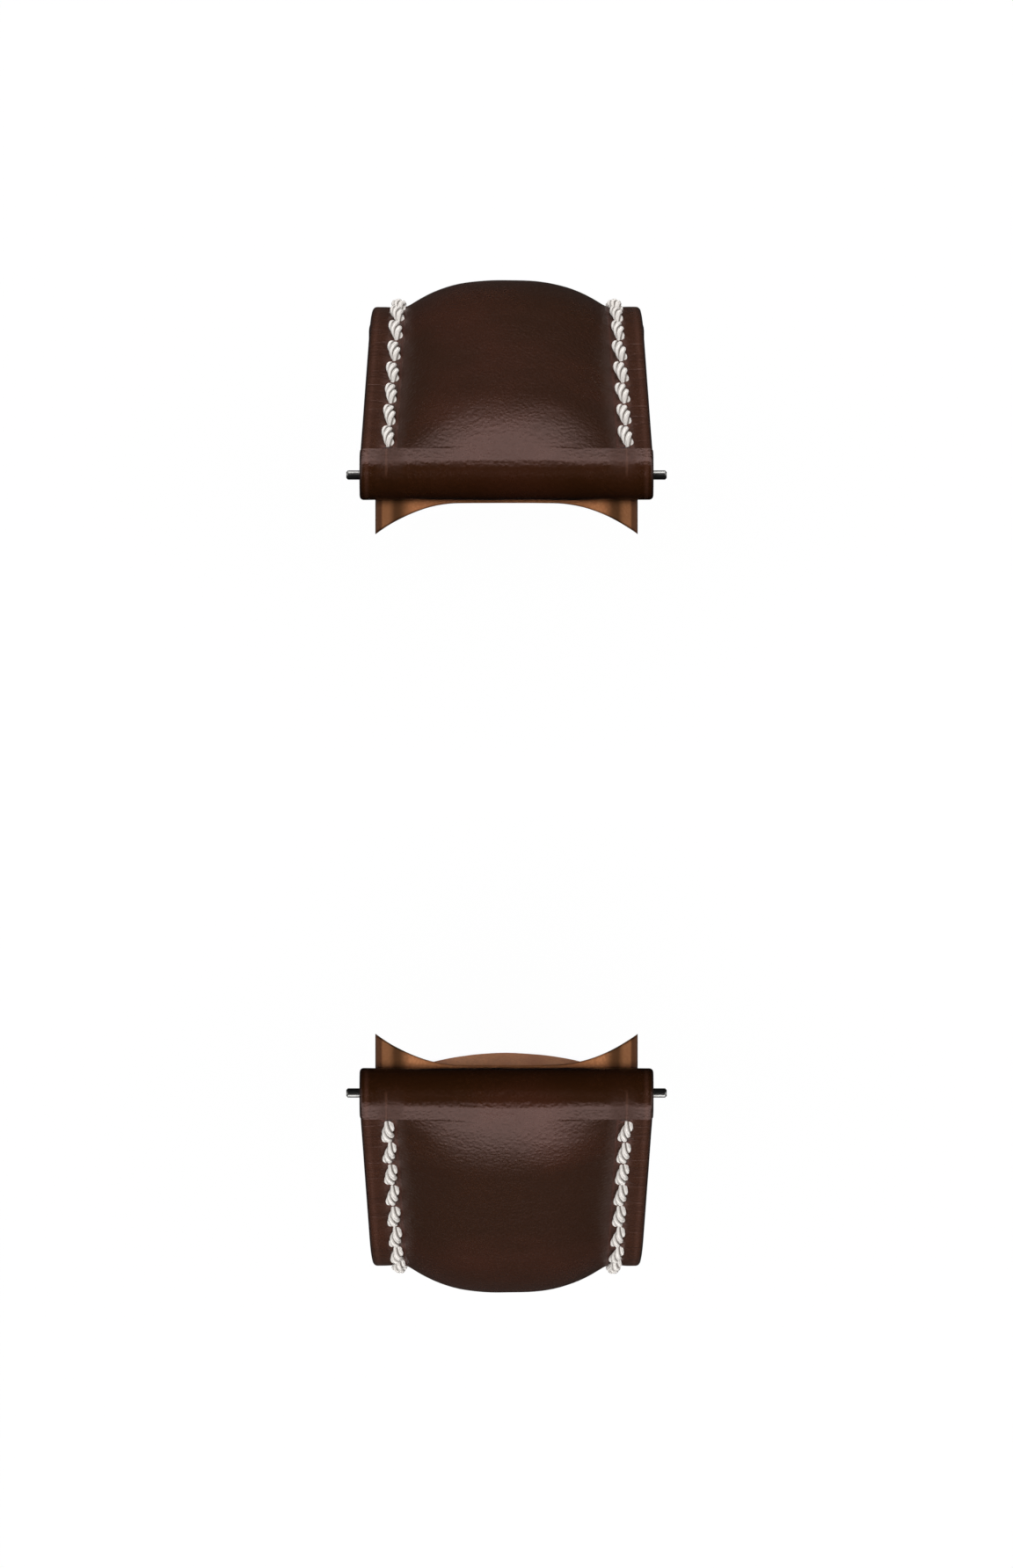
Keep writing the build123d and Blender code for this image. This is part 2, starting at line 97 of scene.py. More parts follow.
# %% Lamps
def lamp(name, shape, power, place):
    """An area lamp that the camera doesn't see."""
    data = bpy.data.lights.new(name, "AREA")
    data.shape = shape
    data.energy = power
    made = bpy.data.objects.new(name, data)
    made.location = place
    made.visible_camera = False
    scene.collection.objects.link(made)
    return made


softbox_size = (1.3, 0.34)
softbox_distance = 0.62
softbox_tilt = math.radians(75.5)
softbox_power = 3.75
for side in (-1, 1):
    aim = Vector((0.0, side * math.sin(softbox_tilt), math.cos(softbox_tilt)))
    softbox = lamp("softbox", "RECTANGLE", softbox_power, aim * softbox_distance)
    softbox.data.size, softbox.data.size_y = softbox_size
    softbox.rotation_euler = aim.to_track_quat("Z", "Y").to_euler()

fill_size = 0.5
fill_height = 0.8
fill_power = 13.5
top_fill = lamp("top_fill", "DISK", fill_power, (0.0, 0.0, fill_height))
top_fill.data.size = fill_size
top_fill.visible_glossy = False


# %% Shader helpers: one call makes a node and wires it
def fill_inputs(tree, node, inputs):
    """Fills a node's inputs with values or with other nodes' sockets."""
    for name, value in inputs.items():
        if isinstance(value, bpy.types.NodeSocket):
            tree.links.new(value, node.inputs[name])
        else:
            node.inputs[name].default_value = value


def shade(tree, kind, inputs=None, **settings):
    """Adds a node, sets its settings and fills its inputs."""
    node = tree.nodes.new(kind)
    for name, value in settings.items():
        setattr(node, name, value)
    fill_inputs(tree, node, inputs or {})
    return node


def blank_tree(owner):
    """Empties the node tree of a material or a world."""
    owner.use_nodes = True
    owner.node_tree.nodes.clear()
    return owner.node_tree


def maths(tree, operation, *values):
    """One Math node, wired to values or sockets."""
    return shade(tree, "ShaderNodeMath", dict(enumerate(values)), operation=operation).outputs[0]


def ranged(tree, value, start, end, low, high, style="LINEAR"):
    """Goes from low to high as a value goes from start to end."""
    ends = {"From Min": start, "From Max": end, "To Min": low, "To Max": high}
    return shade(tree, "ShaderNodeMapRange", {"Value": value, **ends}, interpolation_type=style).outputs[0]


def fade(tree, value, start, end):
    """Smooth 0 to 1 as a value goes from start to end."""
    return ranged(tree, value, start, end, 0.0, 1.0, "SMOOTHSTEP")


def blend(tree, share, ground, colour):
    """Mixes a share of one colour into another."""
    return shade(tree, "ShaderNodeMix", {0: share, 6: ground, 7: colour}, data_type="RGBA").outputs[2]


def mix_light(tree, share, first, second):
    """Mixes two shaders."""
    return shade(tree, "ShaderNodeMixShader", {0: share, 1: first, 2: second}).outputs[0]


def grey(level):
    """A colour without a hue, black at 0 and white at 1."""
    return (level, level, level, 1.0)


# %% Black card between the halves
def flat_sheet(name, corners, paint_name):
    """A flat sheet of the studio, with an empty material."""
    mesh = bpy.data.meshes.new(name)
    mesh.from_pydata(corners, [], [(0, 1, 2, 3)])
    sheet = bpy.data.objects.new(name, mesh)
    scene.collection.objects.link(sheet)
    paint = bpy.data.materials.new(paint_name)
    mesh.materials.append(paint)
    return sheet, blank_tree(paint)


card_half = 0.5
card_top = 0.5
card_foot = -0.1
velvet_tone = 0.01
corners = [(-card_half, card_foot), (card_half, card_foot), (card_half, card_top), (-card_half, card_top)]
card, tree = flat_sheet("black_card", [(x, 0.0, z) for x, z in corners], "black_velvet")
card.visible_camera = False
velvet = shade(tree, "ShaderNodeBsdfDiffuse", {"Color": grey(velvet_tone)})
shade(tree, "ShaderNodeOutputMaterial", {"Surface": velvet.outputs[0]})

# %% World: a dim room with two pale side walls, and white for what the camera sees
wall_start, wall_end = 0.5, 0.9
room_light, wall_light = 0.02, 1.0
world = bpy.data.worlds.new("studio")
scene.world = world
tree = blank_tree(world)
path = shade(tree, "ShaderNodeLightPath").outputs
way = shade(tree, "ShaderNodeTexCoord").outputs["Generated"]
sideways = maths(tree, "ABSOLUTE", shade(tree, "ShaderNodeSeparateXYZ", {0: way}).outputs[0])
walls = ranged(tree, sideways, wall_start, wall_end, room_light, wall_light, "SMOOTHSTEP")
room = shade(tree, "ShaderNodeBackground", {"Color": grey(1.0), "Strength": walls})
white = shade(tree, "ShaderNodeBackground", {"Color": grey(1.0), "Strength": 1.0})
seen = maths(tree, "MAXIMUM", path["Is Camera Ray"], path["Is Transmission Ray"])
mixed = mix_light(tree, seen, room.outputs[0], white.outputs[0])
shade(tree, "ShaderNodeOutputWorld", {"Surface": mixed})

# %% [markdown]
# The floor lies just under the tail's tip. It is painted white and sends light up under the strap.
# What the camera sees of it is lifted nearly all the way to pure white, as the cut-out picture shows
# it, and only a trace of the shadow stays. The leather would look grey if it mirrored such a floor,
# so mirrored rays find a dark one. From below it can be seen through, to look at the tan side.

# %% Floor
floor_drop = 1.0 * mm
floor_half = 1.6
floor_tone, mirrored_tone = 0.9, 0.03
lifted_share = 0.97
floor_z = cad_box[0][2] - floor_drop
corners = [(-1, -1), (1, -1), (1, 1), (-1, 1)]
floor_corners = [(x * floor_half, y * floor_half, floor_z) for x, y in corners]
floor, tree = flat_sheet("floor", floor_corners, "floor_paint")
path = shade(tree, "ShaderNodeLightPath").outputs
tint = blend(tree, path["Is Glossy Ray"], grey(floor_tone), grey(mirrored_tone))
matt = shade(tree, "ShaderNodeBsdfDiffuse", {"Color": tint})
glow = shade(tree, "ShaderNodeEmission", {"Color": grey(1.0), "Strength": 1.0})
seen = maths(tree, "MULTIPLY", path["Is Camera Ray"], lifted_share)
mixed = mix_light(tree, seen, matt.outputs[0], glow.outputs[0])
behind = shade(tree, "ShaderNodeNewGeometry").outputs["Backfacing"]
mixed = mix_light(tree, behind, mixed, shade(tree, "ShaderNodeBsdfTransparent").outputs[0])
shade(tree, "ShaderNodeOutputMaterial", {"Surface": mixed})

# %% [markdown]
# Each half is described the way a strap maker thinks of it: a distance along the strap from the
# bar, a distance across it, and a height above the glue line between top leather and lining. The
# route turns the first and the last into a place in the side view. The working model uses the same
# route, so a piece drawn with it lies where the model's piece lies.

# %% Sizes that the strap shares with the working model
lug_half = 11.0 * mm
narrow_half = 9.0 * mm
taper_depth = 58.0 * mm
bar_y = 23.15 * mm
upper_length = 75.0 * mm
lower_length = 115.0 * mm
drop_angle = math.radians(57)
bend_radius = 14.0 * mm
outer_thickness = 1.3 * mm
lining_thickness = 1.1 * mm
bar_seat = 0.8 * mm
lug_loop = 1.85 * mm
buckle_loop = 1.7 * mm
lug_flap = 10.0 * mm
buckle_flap = 8.0 * mm
stitch_pitch = 3.05 * mm
stitch_inset = 2.0 * mm
first_hole = 1.9 * mm


# %% The side route of a half
class Route:
    """Turns distance along the strap and height above the glue line into y and z."""

    def __init__(self, length, straight, bend_angle, run_angle):
        self.length = length
        self.straight = straight
        self.bend_end = straight + bend_radius * math.radians(bend_angle)
        self.bend_angle = math.radians(bend_angle)
        self.run_angle = math.radians(run_angle)
        self.run = length - self.bend_end

    def bent(self, s):
        """How far the strap has turned in its bend."""
        return np.clip((s - self.straight) / bend_radius, 0, self.bend_angle)

    def angle(self, s):
        """How steeply the strap hangs."""
        return drop_angle + self.bent(s) + np.clip((s - self.bend_end) / self.run, 0, None) * self.run_angle

    def place(self, s, height=0.0):
        """y and z for arrays of distances and heights."""
        s = np.asarray(s, float)
        straight = np.minimum(s, self.straight)
        turned = drop_angle + self.bent(s)
        left = np.clip(s - self.bend_end, 0, None)
        middle = drop_angle + self.bend_angle + left / self.run * self.run_angle / 2
        y = bar_y + straight * math.cos(drop_angle) + bend_radius * (np.sin(turned) - math.sin(drop_angle))
        z = -straight * math.sin(drop_angle) - bend_radius * (math.cos(drop_angle) - np.cos(turned))
        y = y + left * np.cos(middle)
        z = z - left * np.sin(middle)
        angle = self.angle(s)
        return y + height * np.sin(angle), z + height * np.cos(angle)

    def spot(self, s, height=0.0):
        """y and z of one place."""
        return tuple(float(v) for v in self.place(s, height))


upper = Route(upper_length, 18.2 * mm, 42, 0)
lower = Route(lower_length, 18.9 * mm, 35, 12)
halves = {"upper": upper, "lower": lower}


def half_width(z):
    """Half the strap's width at a height below the bars."""
    return lug_half - (lug_half - narrow_half) * np.clip(-z / taper_depth, 0, 1)


print("buckle bar", [round(v, 5) for v in upper.spot(upper_length)])

# %% [markdown]
# Padded straps are widest and highest near the lugs. The top leather is stretched over a felt core
# that starts beside the stitching, so its section is a flat-topped arch with a soft hollow along
# the stitches. Its middle leaves the loop along a tangent, a little before the loop's top, so there
# is no crease there, while the thin margins keep a sharp one.

# %% Padding's height
pad_height = 2.05 * mm
pad_rise = 6.6 * mm
pad_lead = 0.75 * mm
pad_fade = 14.0 * mm
pad_foot = 2.7 * mm
pad_power = 2.7
pad_least_half = 1.0 * mm
soft_blend = 0.08 * mm
foot_blend = 0.0875


def ease(share):
    """A share from 0 to 1 that starts and ends gently."""
    return share**2 * (3 - 2 * share)


def soft_max(a, b, width):
    """The larger of two heights, with a rounded change from one to the other."""
    return (a + b + np.sqrt((a - b) ** 2 + width**2)) / 2


def pad_profile(route, s):
    """Height of the padding along the strap's middle."""
    rise = lug_loop - outer_thickness + pad_lead**2 / (2 * lug_loop)
    left = np.clip(1 - s / pad_rise, 0, None)
    grown = rise + (pad_height - rise) * (1 - left**2)
    return grown * ease(np.clip(1 - (s - route.bend_end) / pad_fade, 0, 1))


def dome(route, s, x, half):
    """Height of the padded arch above the margin."""
    top = pad_profile(route, s)
    share = np.abs(x) / np.maximum(half - pad_foot, pad_least_half)
    return soft_max(top * (1 - share**pad_power), 0, 0.5 * soft_blend + foot_blend * top)


# %% [markdown]
# A strip of leather is a closed skin: a face side, a back side, two edges and two ends. It is made
# from rows of points across the strap, packed closely near the edges and the stitching, where the
# surface bends most. The edges are rounded by drawing both sides in towards the middle. The lower
# half is drawn like the upper one and then mirrored.

# %% Columns across a strap and the closed strip
edge_insets = np.array([0, 0.03, 0.08, 0.16, 0.27, 0.4, 0.65, 0.95, 1.2]) * mm
row_insets = np.arange(1.35, 2.75, 0.15) * mm
dome_insets = np.array([2.9, 3.2]) * mm
insets = np.concatenate([edge_insets, row_insets, dome_insets])
insets_half = 4.4 * mm
middle_count = 30
edge_round = 0.3 * mm
merge_gap = 0.002 * mm


def columns(half):
    """Places across the strap for one row of points, from left to right."""
    left = -half + insets * min(1.0, half / insets_half)
    middle = np.linspace(left[-1], -left[-1], middle_count)[1:-1]
    return np.concatenate([left, middle, -left[::-1]])


def points_row(x, y, z):
    """One row of points from coordinates that are arrays or single values."""
    return np.stack(np.broadcast_arrays(x, y, z), axis=-1)


def rounding(inset, radius):
    """How far a rounded edge falls at a distance from the edge."""
    reach = np.clip(radius - inset, 0, radius)
    return radius - np.sqrt(radius**2 - reach**2)


def finish_mesh(name, points, faces):
    """Merges doubles, turns the faces outwards, shades smoothly and links the piece."""
    mesh = bpy.data.meshes.new(name)
    mesh.from_pydata(points, [], faces)
    return clean_piece(name, mesh)


def clean_piece(name, mesh):
    """The piece of a mesh whose points may carry attributes already."""
    shape = bmesh.new()
    shape.from_mesh(mesh)
    bmesh.ops.remove_doubles(shape, verts=shape.verts, dist=merge_gap)
    bmesh.ops.recalc_face_normals(shape, faces=shape.faces)
    shape.to_mesh(mesh)
    shape.free()
    mesh.shade_smooth()
    piece = bpy.data.objects.new(name, mesh)
    scene.collection.objects.link(piece)
    return piece


def strip(name, route, face_rows, back_rows):
    """Closed mesh between two grids of points of the same size."""
    face, back = np.array(face_rows), np.array(back_rows)
    rows, cols = face.shape[:2]
    index = np.arange(rows * cols).reshape(rows, cols)
    other = index + rows * cols
    quads = []
    for grid, flip in ((index, False), (other, True)):
        a, b, c, d = grid[:-1, :-1], grid[:-1, 1:], grid[1:, 1:], grid[1:, :-1]
        block = np.stack([a, b, c, d], axis=-1).reshape(-1, 4)
        quads.append(block[:, ::-1] if flip else block)
    sides = [(index[:, 0], other[:, 0]), (index[:, -1], other[:, -1])]
    ends = [(index[0], other[0]), (index[-1], other[-1])]
    for here, there in sides + ends:
        quads.append(np.stack([here[:-1], here[1:], there[1:], there[:-1]], axis=-1))
    points = np.concatenate([face.reshape(-1, 3), back.reshape(-1, 3)])
    if route is lower:
        points[:, 1] *= -1
    return finish_mesh(name, points.tolist(), np.concatenate(quads).tolist())


# %% [markdown]
# Materials that follow the strap, such as the stitch holes or the dyed edge, need to know where
# they are on it. Each leather piece therefore carries three numbers at every point: the distance
# along the strap, the distance from the nearer edge and the height above the glue line. They are
# read back from the finished mesh, so cutting holes in it can't upset them.

# %% Strap coordinates on a mesh
tail_reach = 10.4 * mm
tail_round = 2.3
tail_taper = 0.6
past_ends = 4.0 * mm
sample_step = 0.05 * mm
points_at_once = 2000


def outline_half(route, s, z):
    """Half the width of the strap's outline, with the tail's rounded point."""
    half = half_width(z)
    if route is lower:
        into = np.clip((s - (route.length - tail_reach)) / tail_reach, 0, 1)
        half = half * (1 - into**tail_round) ** tail_taper
    return half


def keep_numbers(piece, name, values):
    """Stores one number on each point of a piece."""
    layer = piece.data.attributes.new(name, "FLOAT", "POINT")
    layer.data.foreach_set("value", np.asarray(values, np.float32))


def mark(piece, route):
    """Stores along, inset and height on each point of a piece."""
    count = len(piece.data.vertices)
    co = np.zeros(count * 3)
    piece.data.vertices.foreach_get("co", co)
    x, y, z = co.reshape(-1, 3).T
    y = -y if route is lower else y
    samples = np.arange(-past_ends, route.length + past_ends, sample_step)
    line_y, line_z = route.place(samples)
    along = np.zeros(count)
    for start in range(0, count, points_at_once):
        part = slice(start, start + points_at_once)
        gap = (y[part, None] - line_y) ** 2 + (z[part, None] - line_z) ** 2
        along[part] = samples[gap.argmin(axis=1)]
    near_y, near_z = route.place(along)
    angle = route.angle(along)
    keep_numbers(piece, "along", along)
    keep_numbers(piece, "inset", outline_half(route, along, near_z) - np.abs(x))
    keep_numbers(piece, "height", (y - near_y) * np.sin(angle) + (z - near_z) * np.cos(angle))


# %% [markdown]
# The top leather is one strip. It starts under the strap as a thin flap, comes forward, goes round
# the spring bar, and then runs down the whole half over the padding. Behind the bar the loop ends in
# a short ramp and a crease, where the stitching begins. On the buckle half it turns round the second
# bar and ends in another flap. Each stitch pulls the surface down a little, most at its holes, and
# slow unevenness keeps the face from looking machined.

# %% Surface of the top leather
stitch_pull = 0.08 * mm
hole_pull = 0.12 * mm
pull_across = 0.55 * mm
pull_along = 0.5 * mm
row_end_gap = 0.6 * mm
row_end_blend = 0.15 * mm
row_gaps = {upper: 13.75 * mm, lower: 13.0 * mm}
ramp = math.radians(15)
ramp_end = 0.5 * mm
ramp_drop = 0.6 * mm
blend_sink = 0.05 * soft_blend


def arc_height(radius, gap):
    """Height of a circle beside its middle."""
    return np.sqrt(np.clip(radius**2 - gap**2, 0, None))


def bar_bulge(s):
    """Height of the loop's top: round in front, then a flat ramp that drops to the margin."""
    line = lug_loop / math.cos(ramp) + s * math.tan(ramp)
    top = np.where(s > -lug_loop * math.sin(ramp), line, arc_height(lug_loop, s))
    return top * (1 - ease(np.clip((s - ramp_end) / ramp_drop, 0, 1)))


def stitch_count(route):
    """How many stitches a row has."""
    return int((route.length - row_gaps[route] - first_hole) / stitch_pitch)


def last_hole(route):
    """Where a row ends."""
    return first_hole + stitch_count(route) * stitch_pitch


def stitch_dip(route, s, inset):
    """How far the thread has pulled the leather down."""
    in_row = 1 / (1 + np.exp(-(s - first_hole + row_end_gap) / row_end_blend))
    in_row = in_row / (1 + np.exp((s - last_hole(route) - row_end_gap) / row_end_blend))
    across = np.exp(-(((inset - stitch_inset) / pull_across) ** 2))
    phase = ((s - first_hole) / stitch_pitch + 0.5) % 1 - 0.5
    hole = np.exp(-((phase * stitch_pitch / pull_along) ** 2))
    return in_row * across * (stitch_pull + hole_pull * hole)


def face_height(route, s, x, half):
    """Height of the top leather's face above the glue line."""
    flat = outer_thickness + dome(route, s, x, half) - stitch_dip(route, s, half - np.abs(x))
    height = soft_max(flat, bar_bulge(s), soft_blend)
    if route is upper:
        height = soft_max(height, arc_height(buckle_loop, route.length - s), soft_blend)
    return height - blend_sink


# %% Places along the strap where a row of points is needed
end_stretch = 12.0 * mm
face_spacing = [
    (-pad_lead, 0.1 * mm), (0.45 * mm, 0.05 * mm), (1.3 * mm, 0.1 * mm), (2.4 * mm, 0.3 * mm),
    (30.0 * mm, 0.5 * mm),
]
buckle_stretch = 2.0 * mm
buckle_step = 0.12 * mm
tail_steps = 44
tip_gap = 0.02 * mm
least_half = 0.25 * mm
near_tip = 14.0 * mm
tail_look = 16.0 * mm
tail_samples = 160


def closing_in(length, stretch, count):
    """Places on the last stretch of a length, ever closer together."""
    return length - stretch * (1 - np.sin(np.linspace(0, math.pi / 2, count)))


def tail_stations():
    """Places along the tail's end."""
    return [*closing_in(lower_length, end_stretch, tail_steps)[:-1], lower_length - tip_gap]


def face_stations(route):
    """Places along the face of the top leather, closer together where it bends more."""
    spacing = [*face_spacing, (route.length - end_stretch, None)]
    if route is upper:
        spacing[-1] = (route.length - end_stretch, face_spacing[-1][1])
        spacing += [(route.length - buckle_stretch, buckle_step), (route.length, None)]
    runs = [np.arange(start, stop, step) for (start, step), (stop, _) in zip(spacing, spacing[1:])]
    return np.concatenate(runs + ([] if route is upper else [tail_stations()]))


tail_line_s = closing_in(lower_length, tail_look, tail_samples)
tail_line_half = outline_half(lower, tail_line_s, lower.place(tail_line_s)[1])


def edge_distance(route, s, x, half):
    """Distance from the strap's outline, also round the tail's point."""
    inset = half - np.abs(x)
    if route is upper or s < route.length - near_tip:
        return inset
    gap = np.hypot(tail_line_s[None, :] - s, tail_line_half[None, :] - np.abs(x)[:, None])
    return np.minimum(gap.min(axis=1), np.maximum(inset, 0))


# %% Top leather
lug_steps = 44
buckle_steps = 36
flap_share = 0.985
flat_share = 0.85
glue_gap = 0.01 * mm
hollow_gap = 0.05 * mm
hollow_start = 2.0 * mm
hollow_rise = 1.5 * mm
edge_pull = 0.9
back_round = 0.4
unevenness = 0.035 * mm
broad_wave = 4.2 * mm
fine_wave, fine_share = 1.7 * mm, 0.5


def ripple(rows):
    """Adds slow unevenness to rows of points."""
    for row in rows:
        for point in row:
            wave = noise.noise(Vector(point) / broad_wave)
            wave += fine_share * noise.noise(Vector(point) / fine_wave)
            point[1:] += wave * unevenness


def loop_stations(radius, flap, steps, lead=0.0):
    """Face and back points (s, h) of the flap and loop, up to a distance before the loop's top."""
    slope = math.asin(radius / flap)
    faces = []
    backs = []
    flap_end = flap * flap_share
    touch = radius * math.sin(slope)
    for share in np.linspace(0, 1, steps):
        s = flap_end + (touch - flap_end) * share
        faces.append((s, -(flap - s) * math.tan(slope)))
        if share < flat_share:
            backs.append((flap_end + (bar_seat - flap_end) * share / flat_share, -glue_gap))
        else:
            turn = -(math.pi / 2 - slope) * (share - flat_share) / (1 - flat_share)
            backs.append((bar_seat * math.cos(turn), bar_seat * math.sin(turn)))
    last_turn = math.asin(lead / radius) - 1.5 * math.pi
    for turn in np.linspace(slope - math.pi / 2, last_turn, steps)[1:-1]:
        faces.append((radius * math.cos(turn), radius * math.sin(turn)))
        backs.append((bar_seat * math.cos(turn), bar_seat * math.sin(turn)))
    return list(zip(faces, backs))


def loop_rows(route, x, fall, face_at, back_at):
    """Face and back rows on a flap or round a bar; the edge's rounding draws the face in."""
    (face_s, face_h), (back_s, back_h) = face_at, back_at
    span = math.hypot(face_s - back_s, face_h - back_h) / 2
    pull = np.clip(fall / span, 0, edge_pull)
    drawn_s = face_s + ((face_s + back_s) / 2 - face_s) * pull
    drawn_h = face_h + ((face_h + back_h) / 2 - face_h) * pull
    return points_row(x, *route.place(drawn_s, drawn_h)), points_row(x, *route.place(back_s, back_h))


def over_rows(route, x, fall, s, half):
    """Face and back rows where the leather lies over the bar, the padding and the lining."""
    height = face_height(route, s, x, half)
    back_s = s if s > 0 else s * bar_seat / lug_loop
    hollow = np.clip(height - outer_thickness - hollow_gap, 0, None) * (half - np.abs(x) > pad_foot)
    hollow = hollow * np.clip((s - hollow_start) / hollow_rise, 0, 1)
    back_height = np.maximum(hollow, arc_height(bar_seat, back_s))
    if route is upper:
        back_height = np.maximum(back_height, arc_height(bar_seat, route.length - s))
    face = points_row(x, *route.place(s, height - fall))
    return face, points_row(x, *route.place(back_s, back_height + fall * back_round))


def top_leather(name, route):
    """The whole top leather of one half, as a closed strip."""
    stations = loop_stations(lug_loop, lug_flap, lug_steps, pad_lead)
    stations += [((s, 0.0), None) for s in face_stations(route)]
    if route is upper:
        for (face_s, face_h), (back_s, back_h) in loop_stations(buckle_loop, buckle_flap, buckle_steps)[::-1]:
            stations.append(((route.length - face_s, face_h), (route.length - back_s, back_h)))
    face_rows = []
    back_rows = []
    for face_at, back_at in stations:
        s = face_at[0]
        half = max(float(outline_half(route, s, route.spot(s)[1])), least_half)
        x = columns(half)
        fall = rounding(edge_distance(route, s, x, half), edge_round)
        if back_at:
            face, back = loop_rows(route, x, fall, face_at, back_at)
        else:
            face, back = over_rows(route, x, fall, s, half)
        face_rows.append(face)
        back_rows.append(back)
    ripple(face_rows)
    return strip(name, route, face_rows, back_rows)


# %% [markdown]
# The buckle's tongue needs a slot in the end of the buckle half, and the tail needs its row of
# holes. Both are cut with plain solids, as a punch would cut them, through every layer at once.

# %% Punches
hole_radius = 1.1 * mm
hole_spacing = 6.5 * mm
hole_count = 7
hole_sides = 40
first_from_tip = 26.0 * mm
slot_depth = 4.0 * mm
slot_half = 1.35 * mm
punch_half = 6.0 * mm
sharp_angle = math.radians(40)


def punch(route, s, half_length, half_wide, sides):
    """A straight punch through the strap at distance s: round, or square with four sides."""
    y, z = route.spot(s)
    angle = float(route.angle(s))
    outward = Vector((0, math.sin(angle), math.cos(angle)))
    down = Vector((0, math.cos(angle), -math.sin(angle)))
    if route is lower:
        outward.y, down.y, y = -outward.y, -down.y, -y
    center = Vector((0, y, z))
    start, stretch = (math.pi / 4, math.sqrt(2)) if sides == 4 else (0, 1)
    points = []
    for level in (-punch_half, punch_half):
        for k in range(sides):
            turn = start + 2 * math.pi * k / sides
            across = Vector((half_wide * stretch * math.cos(turn), 0, 0))
            along = down * (half_length * stretch * math.sin(turn))
            points.append(tuple(center + across + along + outward * level))
    faces = [tuple(range(sides)), tuple(range(sides, 2 * sides))]
    faces += [(k, (k + 1) % sides, sides + (k + 1) % sides, sides + k) for k in range(sides)]
    return finish_mesh("punch", points, faces)


def punches(route):
    """The buckle holes of the lower half, or the tongue's slot of the upper one."""
    if route is lower:
        places = [route.length - first_from_tip - hole_spacing * k for k in range(hole_count)]
        return [punch(route, s, hole_radius, hole_radius, hole_sides) for s in places]
    return [punch(route, route.length + slot_depth / 2, slot_depth * 1.5, slot_half, 4)]


def settle(piece):
    """Makes what a piece's modifiers show its own plain mesh."""
    bpy.context.view_layer.update()
    shown = piece.evaluated_get(bpy.context.evaluated_depsgraph_get())
    result = bpy.data.meshes.new_from_object(shown)
    piece.modifiers.clear()
    piece.data = result


def cut(piece, tools):
    """Cuts a piece with punches and removes them."""
    for tool in tools:
        trim = piece.modifiers.new("cut", "BOOLEAN")
        trim.operation = "DIFFERENCE"
        trim.solver = "EXACT"
        trim.object = tool
    settle(piece)
    for tool in tools:
        bpy.data.objects.remove(tool)
    sharpen(piece)


def sharpen(piece):
    """Keeps edges sharper than the sharp angle sharp, and shades the rest smoothly."""
    shape = bmesh.new()
    shape.from_mesh(piece.data)
    for face in shape.faces:
        face.smooth = True
    for edge in shape.edges:
        edge.smooth = len(edge.link_faces) == 2 and edge.calc_face_angle(0.0) < sharp_angle
    shape.to_mesh(piece.data)
    shape.free()


# %% [markdown]
# The lining is thinner, tan calf. Near the watch it leaves the loop and runs flat to the case as a
# tongue with a curved end, whose curve was measured in the photograph. From there it follows the
# underside of the flap and the glue line down to the end. Its path is drawn as straight stretches
# and arcs, and its back is that path moved by its own thickness.

# %% Lining
tab_reach = 21.1 * mm
tab_flat = 3.5 * mm
tab_curve = 58.0
tab_half = 9.85 * mm
tab_rows = 15
tab_front_round = 0.22 * mm
tab_front_share = 0.8
tab_most_round = 0.45 * mm
face_round = 0.5
tab_shoulder = 0.6 * mm
tab_bend = 0.8 * mm
flap_join = 0.8 * mm
path_step = 0.5 * mm
end_step = 0.4 * mm
buckle_gap = 3.2 * mm


def lining_path(route):
    """Points (y, z, angle, s) of the lining's upper face; s is 0 until it reaches the glue line."""
    slope = math.asin(lug_loop / lug_flap)
    flap_drop = drop_angle - slope
    crest = bar_y - lug_loop * math.sin(flap_drop)
    crest += lug_loop * (1 - math.cos(flap_drop)) / math.tan(flap_drop)
    bend = tab_bend + lining_thickness
    tangent = bend * math.tan(flap_drop / 2)
    glued_y, glued_z = route.spot(lug_flap)
    slope_run = math.hypot(glued_y - crest, glued_z + lug_loop) - tangent
    y, z, angle = crest - tangent, -lug_loop, 0.0
    path = [(y, z, angle, 0.0)]
    pieces = [(bend * flap_drop, flap_drop, 14), (slope_run - flap_join / 2, 0.0, 18), (flap_join, slope, 6)]
    for length, turn, steps in pieces:
        for _ in range(steps):
            y += length / steps * math.cos(angle + turn / steps / 2)
            z -= length / steps * math.sin(angle + turn / steps / 2)
            angle += turn / steps
            path.append((y, z, angle, 0.0))
    rest = list(np.arange(lug_flap + flap_join, route.length - end_stretch, path_step))
    if route is lower:
        rest += tail_stations()
    path += [(*route.spot(s), float(route.angle(s)), s) for s in rest]
    if route is upper:
        slope = math.asin(buckle_loop / buckle_flap)
        for s in np.arange(route.length - end_stretch, route.length - buckle_gap, end_step):
            past = s - (route.length - buckle_flap)
            drop = max(past, 0.0) * math.tan(slope)
            path.append((*route.spot(s, -drop), float(route.angle(s)) + (slope if past > 0 else 0.0), s))
    return path


